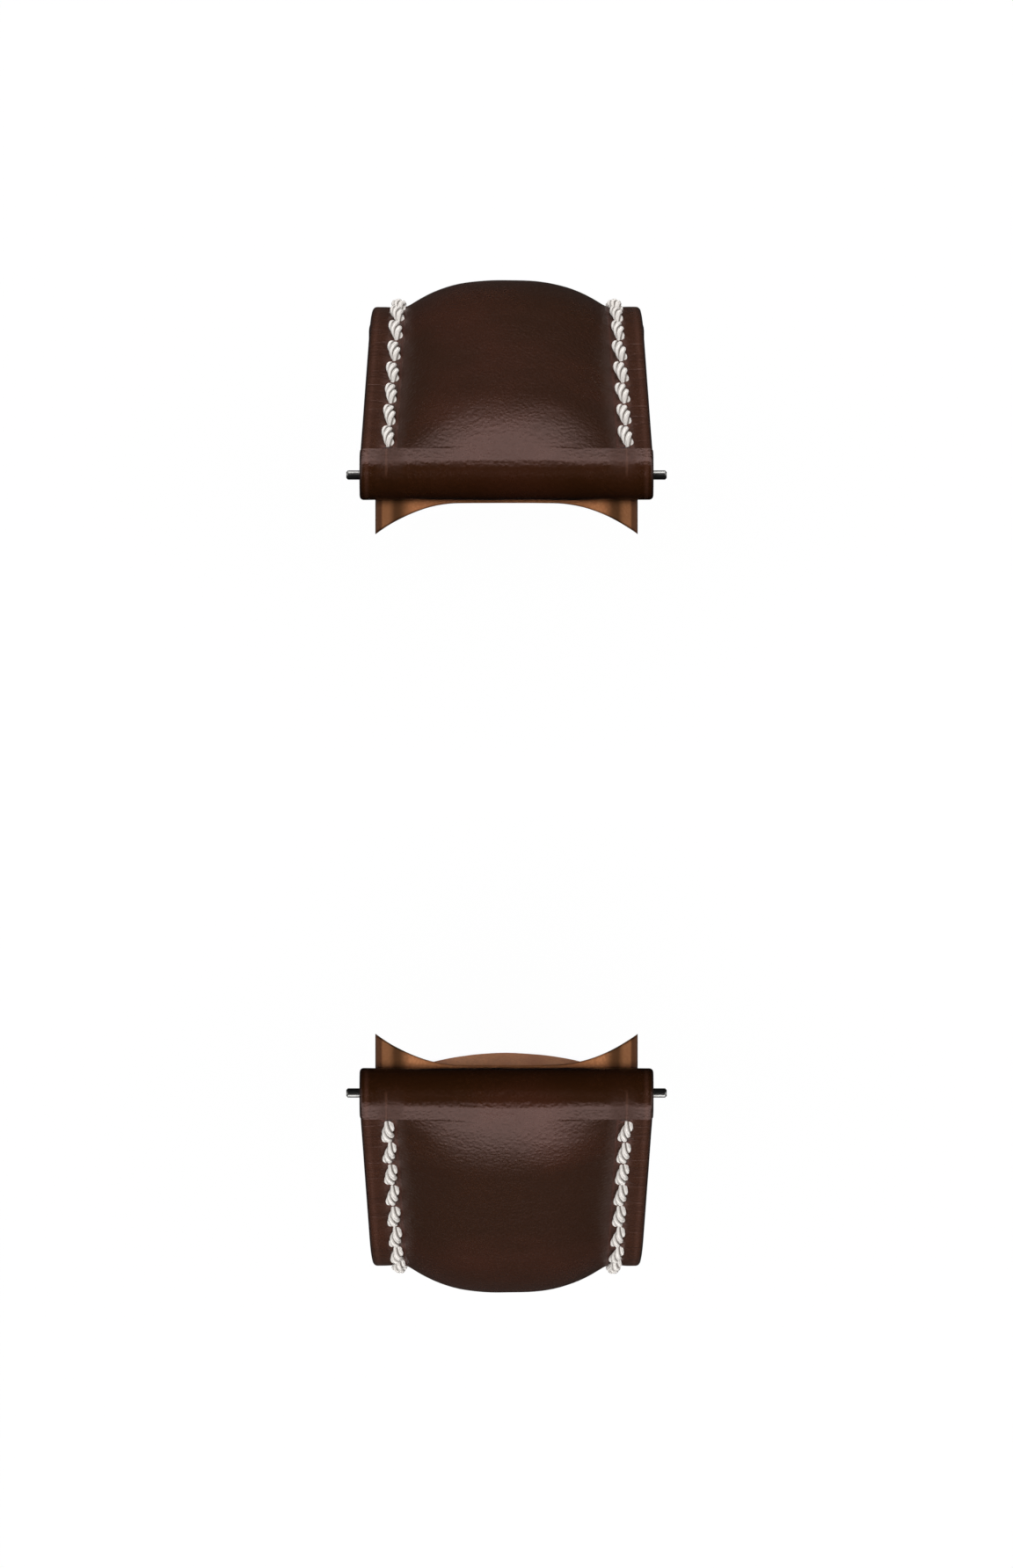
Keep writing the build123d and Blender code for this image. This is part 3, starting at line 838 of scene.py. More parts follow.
def lining(name, route):
    """The whole lining of one half, as a closed strip."""
    path = lining_path(route)
    face_rows = []
    back_rows = []
    x = columns(tab_half)
    arc_y = tab_reach - tab_curve * np.clip(np.abs(x) - tab_flat, 0, None) ** 2
    for share in np.linspace(0, 1, tab_rows + 1)[:-1]:
        y = arc_y + (path[0][0] - arc_y) * share
        fall = rounding(tab_half - np.abs(x), edge_round)
        fall = np.clip(fall + rounding(y - arc_y, tab_front_round) * tab_front_share, 0, tab_most_round)
        face_rows.append(points_row(x, y, -lug_loop - fall))
        back_rows.append(points_row(x, y, -lug_loop - lining_thickness + fall))
    for y, z, angle, s in path:
        if s > 0:
            half = max(float(outline_half(route, s, z)), least_half)
        else:
            half = tab_half if y < bar_y - tab_shoulder else float(half_width(z))
        x = columns(half)
        fall = rounding(edge_distance(route, s, x, half), edge_round)
        for lining_rows, depth in ((face_rows, fall * face_round), (back_rows, lining_thickness - fall)):
            lining_rows.append(points_row(x, y - math.sin(angle) * depth, z - math.cos(angle) * depth))
    ripple(back_rows)
    return strip(name, route, face_rows, back_rows)


# %% Make the leather of both halves
leathers = {}
for half_name, route in halves.items():
    outer = top_leather(f"{half_name}_top_leather", route)
    backing = lining(f"{half_name}_lining_leather", route)
    for piece in (outer, backing):
        cut(piece, punches(route))
        mark(piece, route)
    leathers[half_name] = (outer, backing)
    print(half_name, "faces", len(outer.data.polygons), len(backing.data.polygons))

# %% [markdown]
# The felt core fills the hollow under the arch. It can't be seen on a finished strap, but it is a
# real piece with its own shape, so it is drawn as the crowned pad that it is.

# %% Felt core
core_start = 3.2 * mm
core_inset = 3.4 * mm
core_step = 0.8 * mm
core_columns = 33
core_foot = 0.27 * mm
core_least = 0.32 * mm
core_gap = 0.1 * mm
core_round, core_round_share = 0.25 * mm, 0.2


def felt_core(name, route):
    """The padding: flat below, crowned above, thin at its end."""
    face_rows = []
    back_rows = []
    for s in np.arange(core_start, route.bend_end + pad_fade, core_step):
        half = float(half_width(route.spot(s)[1]))
        x = np.linspace(-1, 1, core_columns) * (half - core_inset)
        crown = np.clip(dome(route, s, x, half) - core_gap, core_least, None)
        crown = crown - rounding(half - core_inset - np.abs(x), core_round) * core_round_share
        face_rows.append(points_row(x, *route.place(s, crown)))
        back_rows.append(points_row(x, *route.place(s, core_foot)))
    return strip(name, route, face_rows, back_rows)


cores = {half_name: felt_core(f"{half_name}_felt_core", route) for half_name, route in halves.items()}

# %% [markdown]
# The stitching is the strap's most visible detail: thick waxed linen, laid by hand with two needles
# in slanted holes. Each stitch is a short piece of three-ply cord that dives into the leather at
# both ends. One stitch is modelled, and Geometry Nodes lay it along each row. The row's count and
# lean are inputs of the tree, so another strap would only need other numbers. The lower half is the
# upper one's mirror image, so its thread is twisted the other way.

# %% One stitch
ply_radius = 0.24 * mm
ply_orbit = 0.225 * mm
ply_count = 3
ply_turns = 1.1
ply_steps = 28
ply_sides = 10
ply_shift = 7.0
ply_flatness = 0.85
stitch_rise = 0.28 * mm
stitch_dive, dive_power = 1.15 * mm, 4
end_thinning, thinning_power = 0.5, 2.2


def one_stitch(turns):
    """A stitch along X, lying on the plane z = 0, with fibre directions for its material; the first number
    of each says how far a point faces out of the cord, and places the painted shade between the plies.
    """
    points = []
    fibres = []
    faces = []
    for ply in range(ply_count):
        base = len(points)
        for i in range(ply_steps + 1):
            t = 2 * i / ply_steps - 1
            x = t * stitch_pitch / 2
            thin = 1 - end_thinning * abs(t) ** thinning_power
            radius = ply_radius * thin
            turn = 2 * math.pi * (ply / ply_count + turns * i / ply_steps)
            center_y = ply_orbit * thin * math.cos(turn)
            center_z = stitch_rise - stitch_dive * t**dive_power
            center_z += ply_orbit * thin * math.sin(turn) * ply_flatness
            for k in range(ply_sides):
                around = 2 * math.pi * k / ply_sides
                points.append((x, center_y + radius * math.cos(around), center_z + radius * math.sin(around)))
                fibres += [math.cos(around - turn), math.sin(around - turn), x / mm + ply_shift * ply]
        for i in range(ply_steps):
            for k in range(ply_sides):
                a = base + i * ply_sides + k
                b = base + i * ply_sides + (k + 1) % ply_sides
                faces.append((a, b, b + ply_sides, a + ply_sides))
        for end in (base, base + ply_steps * ply_sides):
            faces.append(tuple(end + k for k in range(ply_sides)))
    mesh = bpy.data.meshes.new("stitch_form")
    mesh.from_pydata(points, [], faces)
    layer = mesh.attributes.new("fibre", "FLOAT_VECTOR", "POINT")
    layer.data.foreach_set("vector", fibres)
    return clean_piece("stitch_form", mesh)


stitch_forms = {"upper": one_stitch(ply_turns), "lower": one_stitch(-ply_turns)}
print("faces in a stitch", len(stitch_forms["upper"].data.polygons))


# %% Geometry Nodes tree that lays stitches along a row
width_change = 0.8


def sockets(tree, labels, in_out="INPUT"):
    """Gives a tree its named sockets, each with a kind and perhaps a value."""
    for label, (kind, value) in labels.items():
        made = tree.interface.new_socket(label, in_out=in_out, socket_type=f"NodeSocket{kind}")
        if value is not None:
            made.default_value = value


def stored(tree, points, name, value):
    """Keeps a direction on each point under a name."""
    inputs = {"Geometry": points, "Name": name, "Value": value}
    return shade(tree, "GeometryNodeStoreNamedAttribute", inputs, data_type="FLOAT_VECTOR").outputs[0]


def recalled(tree, name):
    """Reads a direction back."""
    inputs = {"Name": name}
    return shade(tree, "GeometryNodeInputNamedAttribute", inputs, data_type="FLOAT_VECTOR").outputs[0]


def stitch_tree():
    """Row of points on a curve, with one stitch on each, turned to the row and the surface."""
    tree = bpy.data.node_groups.new("lay_stitches", "GeometryNodeTree")
    sockets(tree, {
        "Geometry": ("Geometry", None), "Stitch": ("Object", None), "Count": ("Int", 10),
        "Lean": ("Float", 0.1), "Unevenness": ("Float", 0.06), "Seed": ("Int", 1),
        "Thread": ("Material", None),
    })
    sockets(tree, {"Geometry": ("Geometry", None)}, "OUTPUT")
    given = shade(tree, "NodeGroupInput").outputs
    curve = shade(tree, "GeometryNodeMeshToCurve", {"Mesh": given["Geometry"]}).outputs[0]
    points = shade(tree, "GeometryNodeResampleCurve", {"Curve": curve, "Count": given["Count"]}).outputs[0]
    tangent = shade(tree, "GeometryNodeInputTangent").outputs[0]
    outward = shade(
        tree, "ShaderNodeVectorMath", {0: (1.0, 0.0, 0.0), 1: tangent}, operation="CROSS_PRODUCT",
    ).outputs[0]
    points = stored(tree, stored(tree, points, "row_way", tangent), "row_up", outward)
    laid = shade(tree, "FunctionNodeAlignEulerToVector", {"Vector": recalled(tree, "row_way")}, axis="X")
    laid = shade(
        tree, "FunctionNodeAlignEulerToVector",
        {"Rotation": laid.outputs[0], "Vector": recalled(tree, "row_up")}, axis="Z", pivot_axis="X",
    )
    least = maths(tree, "MULTIPLY", given["Unevenness"], -1.0)
    wobble = shade(
        tree, "FunctionNodeRandomValue", {"Min": least, "Max": given["Unevenness"], "Seed": given["Seed"]},
        data_type="FLOAT",
    )
    wobble = [out for out in wobble.outputs if out.enabled][0]
    lean = shade(tree, "ShaderNodeCombineXYZ", {"Z": maths(tree, "ADD", given["Lean"], wobble)}).outputs[0]
    turned = shade(
        tree, "FunctionNodeRotateEuler", {"Rotation": laid.outputs[0], "Rotate By": lean}, space="LOCAL",
    )
    grow = maths(tree, "MULTIPLY_ADD", wobble, width_change, 1.0)
    size = shade(tree, "ShaderNodeCombineXYZ", {"X": 1.0, "Y": grow, "Z": grow})
    form = shade(tree, "GeometryNodeObjectInfo", {"Object": given["Stitch"]}, transform_space="ORIGINAL")
    placed = shade(tree, "GeometryNodeInstanceOnPoints", {
        "Points": points, "Instance": form.outputs["Geometry"],
        "Rotation": turned.outputs[0], "Scale": size.outputs[0],
    })
    real = shade(tree, "GeometryNodeRealizeInstances", {"Geometry": placed.outputs[0]})
    smooth = shade(tree, "GeometryNodeSetShadeSmooth", {"Geometry": real.outputs[0]})
    dressed = shade(
        tree, "GeometryNodeSetMaterial", {"Geometry": smooth.outputs[0], "Material": given["Thread"]},
    )
    shade(tree, "NodeGroupOutput", {"Geometry": dressed.outputs[0]})
    return tree


lay_stitches = stitch_tree()


def run_tree(piece, tree, values):
    """Runs a Geometry Nodes tree on a piece and keeps the result as a plain mesh."""
    step = piece.modifiers.new("lay", "NODES")
    step.node_group = tree
    identifiers = {item.name: item.identifier for item in tree.interface.items_tree if item.in_out == "INPUT"}
    for name, value in values.items():
        step[identifiers[name]] = value
    settle(piece)
    print(piece.name, "faces", len(piece.data.polygons))


# %% [markdown]
# A finish that several materials share is a node group. The grain is two sizes of cells, as pores
# and the folds between them look on waxed calf. The stitch marks read the strap's own numbers and
# put painted shade in the hole at each end of every stitch, with a rust-coloured rim round it.


# %% Helpers for groups and masks
def group(name, inputs, outputs):
    """New shader group with numbers in and masks out; returns the tree and its input sockets."""
    tree = bpy.data.node_groups.new(name, "ShaderNodeTree")
    sockets(tree, {label: ("Float", value) for label, value in inputs.items()})
    sockets(tree, {label: ("Float", None) for label in outputs}, "OUTPUT")
    return tree, shade(tree, "NodeGroupInput").outputs


def use(tree, group_tree, inputs):
    """Places a group in a material's tree."""
    return shade(tree, "ShaderNodeGroup", inputs, node_tree=group_tree).outputs


def own_place(tree):
    """Where a point lies on the piece."""
    return shade(tree, "ShaderNodeTexCoord").outputs["Object"]


def stretched(tree, vector, scale):
    """Stretches a pattern: a low number makes it long that way."""
    return shade(tree, "ShaderNodeMapping", {"Vector": vector, "Scale": scale}).outputs[0]


def cloudy(tree, vector, scale, detail, roughness=0.5):
    """Noise texture; Fac is its grey, Color its three values."""
    inputs = {"Vector": vector, "Scale": scale, "Detail": detail, "Roughness": roughness}
    return shade(tree, "ShaderNodeTexNoise", inputs).outputs


def away(tree, value, center):
    """Distance of a value from a centre."""
    return maths(tree, "ABSOLUTE", maths(tree, "SUBTRACT", value, center))


def both(tree, first, second):
    """The product of two masks, or of a mask and a strength."""
    return maths(tree, "MULTIPLY", first, second)


# %% Grain group
bend_scale, bend_by = 900.0, 0.0004
broad_scale = 140.0
finer = 2.6
pit_depth, fine_depth, pit_tone = -0.8, 0.5, -0.35


def grain_group():
    """Pores and the folds between them, with slower clouds in the tone."""
    tree, given = group("calf_grain", {"Cell": 0.35 * mm}, ("Height", "Tone"))
    place = own_place(tree)
    bent = cloudy(tree, place, bend_scale, 2.0)
    shifted = shade(
        tree, "ShaderNodeVectorMath", {0: bent["Color"], 1: (bend_by, bend_by, bend_by), 2: place},
        operation="MULTIPLY_ADD",
    ).outputs[0]
    scale = maths(tree, "DIVIDE", 1.0, given["Cell"])
    cells = shade(
        tree, "ShaderNodeTexVoronoi", {"Vector": shifted, "Scale": scale, "Smoothness": 0.6},
        feature="SMOOTH_F1",
    ).outputs["Distance"]
    fine = cloudy(tree, place, maths(tree, "MULTIPLY", scale, finer), 3.0, 0.6)["Fac"]
    broad = cloudy(tree, place, broad_scale, 4.0, 0.55)["Fac"]
    height = maths(tree, "MULTIPLY_ADD", fine, fine_depth, maths(tree, "MULTIPLY", cells, pit_depth))
    tone = maths(tree, "MULTIPLY_ADD", cells, pit_tone, broad)
    shade(tree, "NodeGroupOutput", {"Height": height, "Tone": tone})
    return tree


calf_grain = grain_group()

# %% Stitch marks group
row_before = (first_hole - 0.9 * mm, first_hole - 0.4 * mm)
row_past = 0.9 * mm
ragged_scale, ragged_depth = 1600.0, 0.35 * mm
across_share = 0.8
# How far the painted shade in each stitch hole reaches.
hole_shade_reach = (0.58 * mm, 0.36 * mm)
rust_reach = (0.7 * mm, 0.45 * mm)
line_inset = stitch_inset + 0.62 * mm
line_width = (0.16 * mm, 0.04 * mm)


def marks_group():
    """Masks for the holes and their painted shade, the rust round them and the line pressed beside the row.
    """
    inputs = {"Along": 0.0, "Inset": 0.0, "Last": 0.06}
    tree, given = group("stitch_marks", inputs, ("HoleShade", "Rust", "Line"))
    steps = maths(tree, "DIVIDE", maths(tree, "SUBTRACT", given["Along"], first_hole), stitch_pitch)
    phase = maths(tree, "SUBTRACT", maths(tree, "FRACT", maths(tree, "ADD", steps, 0.5)), 0.5)
    along_gap = maths(tree, "MULTIPLY", phase, stitch_pitch)
    across_gap = maths(tree, "MULTIPLY", maths(tree, "SUBTRACT", given["Inset"], stitch_inset), across_share)
    square = maths(tree, "MULTIPLY_ADD", along_gap, along_gap, both(tree, across_gap, across_gap))
    rough = cloudy(tree, own_place(tree), ragged_scale, 2.0)["Fac"]
    reach = maths(tree, "MULTIPLY_ADD", rough, ragged_depth, maths(tree, "SQRT", square))
    ended = maths(tree, "LESS_THAN", given["Along"], maths(tree, "ADD", given["Last"], row_past))
    row = both(tree, fade(tree, given["Along"], *row_before), ended)
    line = fade(tree, away(tree, given["Inset"], line_inset), *line_width)
    shade(tree, "NodeGroupOutput", {
        "HoleShade": both(tree, row, fade(tree, reach, *hole_shade_reach)),
        "Rust": both(tree, row, fade(tree, reach, *rust_reach)),
        "Line": both(tree, line, row),
    })
    return tree


stitch_marks = marks_group()

# %% [markdown]
# Top leather: deep brown, nearly black where it turns away, with a faint red in the dye. The grain
# is only seen where light grazes it, so it goes into the bump and a little into the roughness. Cut
# edges are burnished and darker, and the face just inside them is rubbed a touch lighter. The
# margins are pressed paler, with painted shade along the crease behind the loop, a scored line over
# it and fine wrinkles.


# %% Material helpers
def new_material(name):
    """A material with an empty Principled surface."""
    material = bpy.data.materials.new(name)
    tree = blank_tree(material)
    surface = shade(tree, "ShaderNodeBsdfPrincipled")
    shade(tree, "ShaderNodeOutputMaterial", {"Surface": surface.outputs[0]})
    return material, tree, surface


def linear(red, green, blue):
    """A colour written as the screen shows it, made ready for light sums."""
    return (*[((v / 255 + 0.055) / 1.055) ** 2.4 if v > 10 else v / 3294 for v in (red, green, blue)], 1.0)


def own_number(tree, name, output="Fac"):
    """A number or direction that the piece carries on its points."""
    return shade(tree, "ShaderNodeAttribute", attribute_name=name).outputs[output]


def dyed(tree, colour, layers):
    """Lays masks with a strength and a colour over a ground, one after the other."""
    for mask, strength, dye in layers:
        colour = blend(tree, both(tree, mask, strength) if strength < 1 else mask, colour, dye)
    return colour


def carved(tree, height, layers):
    """Adds masks with a depth to a height."""
    for mask, depth in layers:
        height = maths(tree, "MULTIPLY_ADD", mask, depth, height)
    return height


def bumped(tree, height, strength, depth):
    """Normal of a surface with a height on it."""
    inputs = {"Strength": strength, "Distance": depth, "Height": height}
    return shade(tree, "ShaderNodeBump", inputs).outputs[0]


# %% Top leather's material
calf_base, calf_deep = linear(43, 21, 8), linear(36, 17, 5)
calf_warm, calf_pressed = linear(47, 22, 12), linear(55, 29, 17)
calf_cell = 0.3 * mm
tone_from, tone_to = 0.25, 0.62
cloud_scale, cloud_from, cloud_to = 70.0, 0.42, 0.72
margin_inset = (2.5 * mm, 1.6 * mm)
margin_along = (1.0 * mm, 2.0 * mm)
rubbed_outside = (0.28 * mm, 0.5 * mm)
rubbed_inside = (0.8 * mm, 0.5 * mm)
burnished_edge = (0.26 * mm, 0.08 * mm)
# Painted shade along the crease behind the loop: where it lies, how wide, how far in from the edge.
crease_shade_place = 1.5 * mm
crease_shade_width = (0.2 * mm, 0.05 * mm)
crease_shade_inset = (3.4 * mm, 2.4 * mm)
score_width = (0.13 * mm, 0.04 * mm)
loop_height = (0.7 * mm, 1.2 * mm)
loop_along = (1.5 * mm, 1.2 * mm)
wrinkle_stretch, wrinkle_scale = (0.12, 1.0, 1.0), 620.0
wrinkle_width = (0.05, 0.01)
grain_depth, grain_strength = 0.055 * mm, 0.55
polish_low, polish_high = 0.31, 0.24
matt_center, matt_width, matt_more = stitch_inset + 0.3 * mm, (1.3 * mm, 0.5 * mm), 0.16
wax_tint = (1.0, 0.64, 0.6, 1.0)


def strap_leather(name, last):
    """Dark top leather with stitch marks up to the last hole, edge dye and grain."""
    material, tree, surface = new_material(name)
    grain = use(tree, calf_grain, {"Cell": calf_cell})
    along, inset, height = (own_number(tree, number) for number in ("along", "inset", "height"))
    marks = use(tree, stitch_marks, {"Along": along, "Inset": inset, "Last": last})
    place = own_place(tree)
    cloud = fade(tree, cloudy(tree, place, cloud_scale, 3.0)["Fac"], cloud_from, cloud_to)
    margin = both(tree, fade(tree, inset, *margin_inset), fade(tree, along, *margin_along))
    rubbed = both(tree, fade(tree, inset, *rubbed_outside), fade(tree, inset, *rubbed_inside))
    burnished = fade(tree, inset, *burnished_edge)
    # Painted shade: a dark line along the crease behind the loop, on the margins only.
    crease_shade = fade(tree, away(tree, along, crease_shade_place), *crease_shade_width)
    crease_shade = both(tree, crease_shade, fade(tree, inset, *crease_shade_inset))
    over_loop = both(tree, fade(tree, height, *loop_height), fade(tree, along, *loop_along))
    score = both(tree, fade(tree, away(tree, inset, stitch_inset), *score_width), over_loop)
    wrinkle = cloudy(tree, stretched(tree, place, wrinkle_stretch), wrinkle_scale, 1.5)["Fac"]
    wrinkle = both(tree, fade(tree, away(tree, wrinkle, 0.5), *wrinkle_width), margin)
    ground = blend(tree, fade(tree, grain["Tone"], tone_from, tone_to), calf_deep, calf_base)
    colour = dyed(tree, ground, (
        (cloud, 1, calf_warm),
        (margin, 0.5, calf_pressed),
        (rubbed, 0.35, linear(74, 46, 36)),
        (burnished, 1, linear(30, 18, 14)),
        (marks["Line"], 0.4, linear(62, 28, 18)),
        (marks["Rust"], 0.4, linear(78, 36, 22)),
        # Painted shade in the stitch holes.
        (marks["HoleShade"], 0.95, linear(16, 8, 6)),
        # Painted shade in the crease behind the loop.
        (crease_shade, 0.7, linear(24, 11, 5)),
        (score, 0.25, linear(84, 54, 40)),
        (wrinkle, 0.2, linear(36, 17, 10)),
    ))
    rough = ranged(tree, grain["Tone"], 0.2, 0.7, polish_low, polish_high)
    matt = fade(tree, away(tree, inset, matt_center), *matt_width)
    carving = ((marks["HoleShade"], -1.5), (marks["Line"], -0.6), (score, -0.8), (wrinkle, -0.5))
    fill_inputs(tree, surface, {
        "Base Color": colour,
        "Roughness": maths(tree, "MULTIPLY_ADD", matt, matt_more, rough),
        "Normal": bumped(tree, carved(tree, grain["Height"], carving), grain_strength, grain_depth),
        "Specular IOR Level": 0.5,
        "Specular Tint": wax_tint,
    })
    return material


outer_materials = {}
for half_name, route in halves.items():
    outer_materials[half_name] = strap_leather(f"{half_name}_brown_calf", last_hole(route))

# %% [markdown]
# Lining: tan calf, matt, with open pores, dyed dark along its cut edges. Towards the case its
# margins are pressed and darker, with a soft groove a little inside each side that is darkened by
# painted shade.

# %% Lining's material
tan_cell = 0.22 * mm
streak_stretch = (260.0, 40.0, 40.0)
case_along = (1.6 * mm, 0.6 * mm)
tab_margin = (2.2 * mm, 1.4 * mm)
# The groove inside each side of the tongue, darkened with painted shade.
shaded_groove_outside = (0.95 * mm, 1.55 * mm)
shaded_groove_inside = (2.9 * mm, 1.75 * mm)
tab_dyed = (0.6 * mm, 0.4 * mm)
edge_dyed = (0.22 * mm, 0.08 * mm)
groove_depth = -2.0
pore_depth, pore_strength = 0.04 * mm, 0.6


def lining_leather():
    """Tan calf whose tongue has dark margins and a groove."""
    material, tree, surface = new_material("tan_calf")
    grain = use(tree, calf_grain, {"Cell": tan_cell})
    along, inset = own_number(tree, "along"), own_number(tree, "inset")
    streak = cloudy(tree, stretched(tree, own_place(tree), streak_stretch), 1.0, 4.0)["Fac"]
    at_case = fade(tree, along, *case_along)
    side = maths(tree, "SUBTRACT", inset, lug_half - tab_half)
    margin = both(tree, fade(tree, side, *tab_margin), at_case)
    # Painted shade: the groove is darkened, while its own relief is only a faint bump.
    shaded_groove = both(tree, fade(tree, side, *shaded_groove_outside), fade(tree, side, *shaded_groove_inside))
    shaded_groove = both(tree, shaded_groove, at_case)
    tab_edge = both(tree, fade(tree, side, *tab_dyed), at_case)
    edge = maths(tree, "MAXIMUM", fade(tree, inset, *edge_dyed), tab_edge)
    ground = blend(tree, fade(tree, grain["Tone"], 0.2, 0.65), linear(150, 98, 64), linear(184, 124, 84))
    colour = dyed(tree, ground, (
        (fade(tree, streak, 0.5, 0.75), 1, linear(150, 96, 66)),
        (margin, 0.8, linear(110, 73, 47)),
        # Painted shade in the groove.
        (shaded_groove, 0.9, linear(64, 40, 22)),
        (edge, 0.85, linear(64, 38, 24)),
    ))
    height = carved(tree, grain["Height"], ((shaded_groove, groove_depth),))
    fill_inputs(tree, surface, {
        "Base Color": colour,
        "Roughness": 0.62,
        "Specular IOR Level": 0.35,
        "Normal": bumped(tree, height, pore_strength, pore_depth),
    })
    return material


tan_calf = lining_leather()

# %% [markdown]
# Thread: waxed natural linen, off-white, with painted grey shade where the plies meet. The darker
# grooves come partly from the mesh and partly from that painted shade, where a ply turns in, and a
# fine streak runs along each ply.

# %% Thread, felt and tape materials
fibre_depth = 0.03 * mm
ply_stretch, strand_scale = (3.2, 3.2, 0.7), 1.6
# Where the painted shade between the plies starts and where it is full.
ply_groove_shade = (0.45, -0.25)


def fibre(name, light_colour, dark_colour, scale, roughness):
    """Fibrous matt material with fine streaks."""
    material, tree, surface = new_material(name)
    strand = cloudy(tree, own_place(tree), scale, 5.0, 0.7)["Fac"]
    fill_inputs(tree, surface, {
        "Base Color": blend(tree, fade(tree, strand, 0.3, 0.62), dark_colour, light_colour),
        "Roughness": roughness,
        "Normal": bumped(tree, strand, 0.5, fibre_depth),
    })
    return material


def waxed_linen():
    """Off-white thread whose fibres run along each ply."""
    material, tree, surface = new_material("waxed_linen")
    ways = own_number(tree, "fibre", "Vector")
    strand = cloudy(tree, stretched(tree, ways, ply_stretch), strand_scale, 4.0, 0.65)["Fac"]
    colour = blend(tree, fade(tree, strand, 0.3, 0.6), linear(126, 120, 114), linear(216, 211, 206))
    # Painted shade where a ply turns in towards the others.
    shaded_groove = fade(tree, shade(tree, "ShaderNodeSeparateXYZ", {0: ways}).outputs[0], *ply_groove_shade)
    fill_inputs(tree, surface, {
        "Base Color": dyed(tree, colour, ((shaded_groove, 0.85, linear(78, 68, 60)),)),
        "Roughness": 0.5,
        "Normal": bumped(tree, strand, 0.6, fibre_depth),
    })
    return material


linen = waxed_linen()
felt = fibre("grey_felt", linear(150, 142, 132), linear(108, 100, 92), 1800.0, 0.95)
nylon = fibre("woven_nylon", linear(232, 232, 226), linear(200, 200, 194), 3000.0, 0.6)

# %% [markdown]
# Metal: the buckle is polished steel with very fine brushing, and the spring bars are plain satin
# steel. A hint of scratches in the roughness keeps them from looking like chrome.

# %% Steel material
brush_stretch = (120.0, 5200.0, 5200.0)
brushed = (0.3, 0.7)
scratch_depth, scratch_strength = 0.01 * mm, 0.12
scratch_tone = 0.86


def steel(name, colour, roughness, scratch):
    """Steel with brushing along X."""
    material, tree, surface = new_material(name)
    lines = cloudy(tree, stretched(tree, own_place(tree), brush_stretch), 1.0, 4.0)["Fac"]
    darker = (*[v * scratch_tone for v in colour[:3]], 1.0)
    fill_inputs(tree, surface, {
        "Base Color": blend(tree, fade(tree, lines, *brushed), colour, darker),
        "Roughness": ranged(tree, lines, *brushed, roughness, roughness + scratch),
        "Metallic": 1.0,
        "Normal": bumped(tree, lines, scratch_strength, scratch_depth),
    })
    return material


buckle_steel = steel("polished_steel", linear(206, 204, 200), 0.16, 0.12)
bar_steel = steel("satin_steel", linear(188, 187, 184), 0.3, 0.12)

# %% [markdown]
# A row of stitches is laid twice, once on the face and once on the lining. The points of each row
# are given as a line, and the tree above turns it into stitches.

# %% Lay the rows of stitches
stitch_lean = 0.18
stitch_unevenness = 0.07
samples_a_stitch = 6
lining_sink = 0.05 * mm


def row_points(route, side, on_face):
    """Points along a row, from the first stitch's middle to the last one's."""
    count = stitch_count(route)
    ends = first_hole + stitch_pitch / 2, first_hole + (count - 0.5) * stitch_pitch
    s = np.linspace(*ends, count * samples_a_stitch)
    half = half_width(route.place(s)[1])
    x = side * (half - stitch_inset)
    if on_face:
        height = outer_thickness + dome(route, s, x, half) - stitch_pull
    else:
        flap = np.clip(lug_flap - s, 0, None) * math.tan(math.asin(lug_loop / lug_flap))
        height = -flap - lining_thickness + lining_sink
    y, z = route.place(s, height)
    return points_row(x, -y if route is lower else y, z)


rows = {}
for half_name, route in halves.items():
    for side_name, side in (("left", -1), ("right", 1)):
        parts = []
        for on_face in (True, False):
            points = row_points(route, side, on_face)
            if (route is lower) == on_face:
                points = points[::-1]
            line = bpy.data.meshes.new("row")
            line.from_pydata(points.tolist(), [(i, i + 1) for i in range(len(points) - 1)], [])
            row = bpy.data.objects.new(f"{half_name}_{side_name}_row", line)
            scene.collection.objects.link(row)
            run_tree(row, lay_stitches, {
                "Stitch": stitch_forms[half_name], "Count": stitch_count(route),
                "Unevenness": stitch_unevenness, "Lean": -stitch_lean if route is lower else stitch_lean,
                "Seed": len(rows) * 2 + on_face, "Thread": linen,
            })
            parts.append(row)
        with bpy.context.temp_override(active_object=parts[0], selected_editable_objects=parts):
            bpy.ops.object.join()
        parts[0].name = f"{half_name}_{side_name}_thread"
        rows[(half_name, side_name)] = parts[0]
for form in stitch_forms.values():
    bpy.data.objects.remove(form)

# %% [markdown]
# Keepers are narrow bands of the same calf, folded so that both long edges are rounded, and closed
# on the inner side. Each is a flattened oval section carried round a rounded rectangle.

# %% Keepers
keeper_wall = 1.0 * mm
keeper_length = 5.5 * mm
fixed_from_bar = 9.5 * mm
free_from_bar = 24.0 * mm
keeper_corner = 0.9 * mm
corner_steps = 8
side_steps = 12
section_points = 28
band_flatness, band_edge = 0.35, 0.6
no_row = -1.0


def keeper_path(half_wide, bottom, top):
    """Points (x, h, turn) round a rounded rectangle."""
    arcs = []
    for right, up, start in ((1, top, 0), (-1, top, 90), (-1, bottom, 180), (1, bottom, 270)):
        cx = right * (half_wide - keeper_corner)
        cy = up - keeper_corner if up is top else up + keeper_corner
        turns = [math.radians(start + 90.0 * k / corner_steps) for k in range(corner_steps + 1)]
        arcs.append([(cx + keeper_corner * math.cos(t), cy + keeper_corner * math.sin(t), t) for t in turns])
    path = []
    for arc, after in zip(arcs, arcs[1:] + arcs[:1]):
        (x, h, turn), (next_x, next_h, _) = arc[-1], after[0]
        shares = [k / side_steps for k in range(1, side_steps)]
        path += arc + [(x + (next_x - x) * share, h + (next_h - h) * share, turn) for share in shares]
    return path


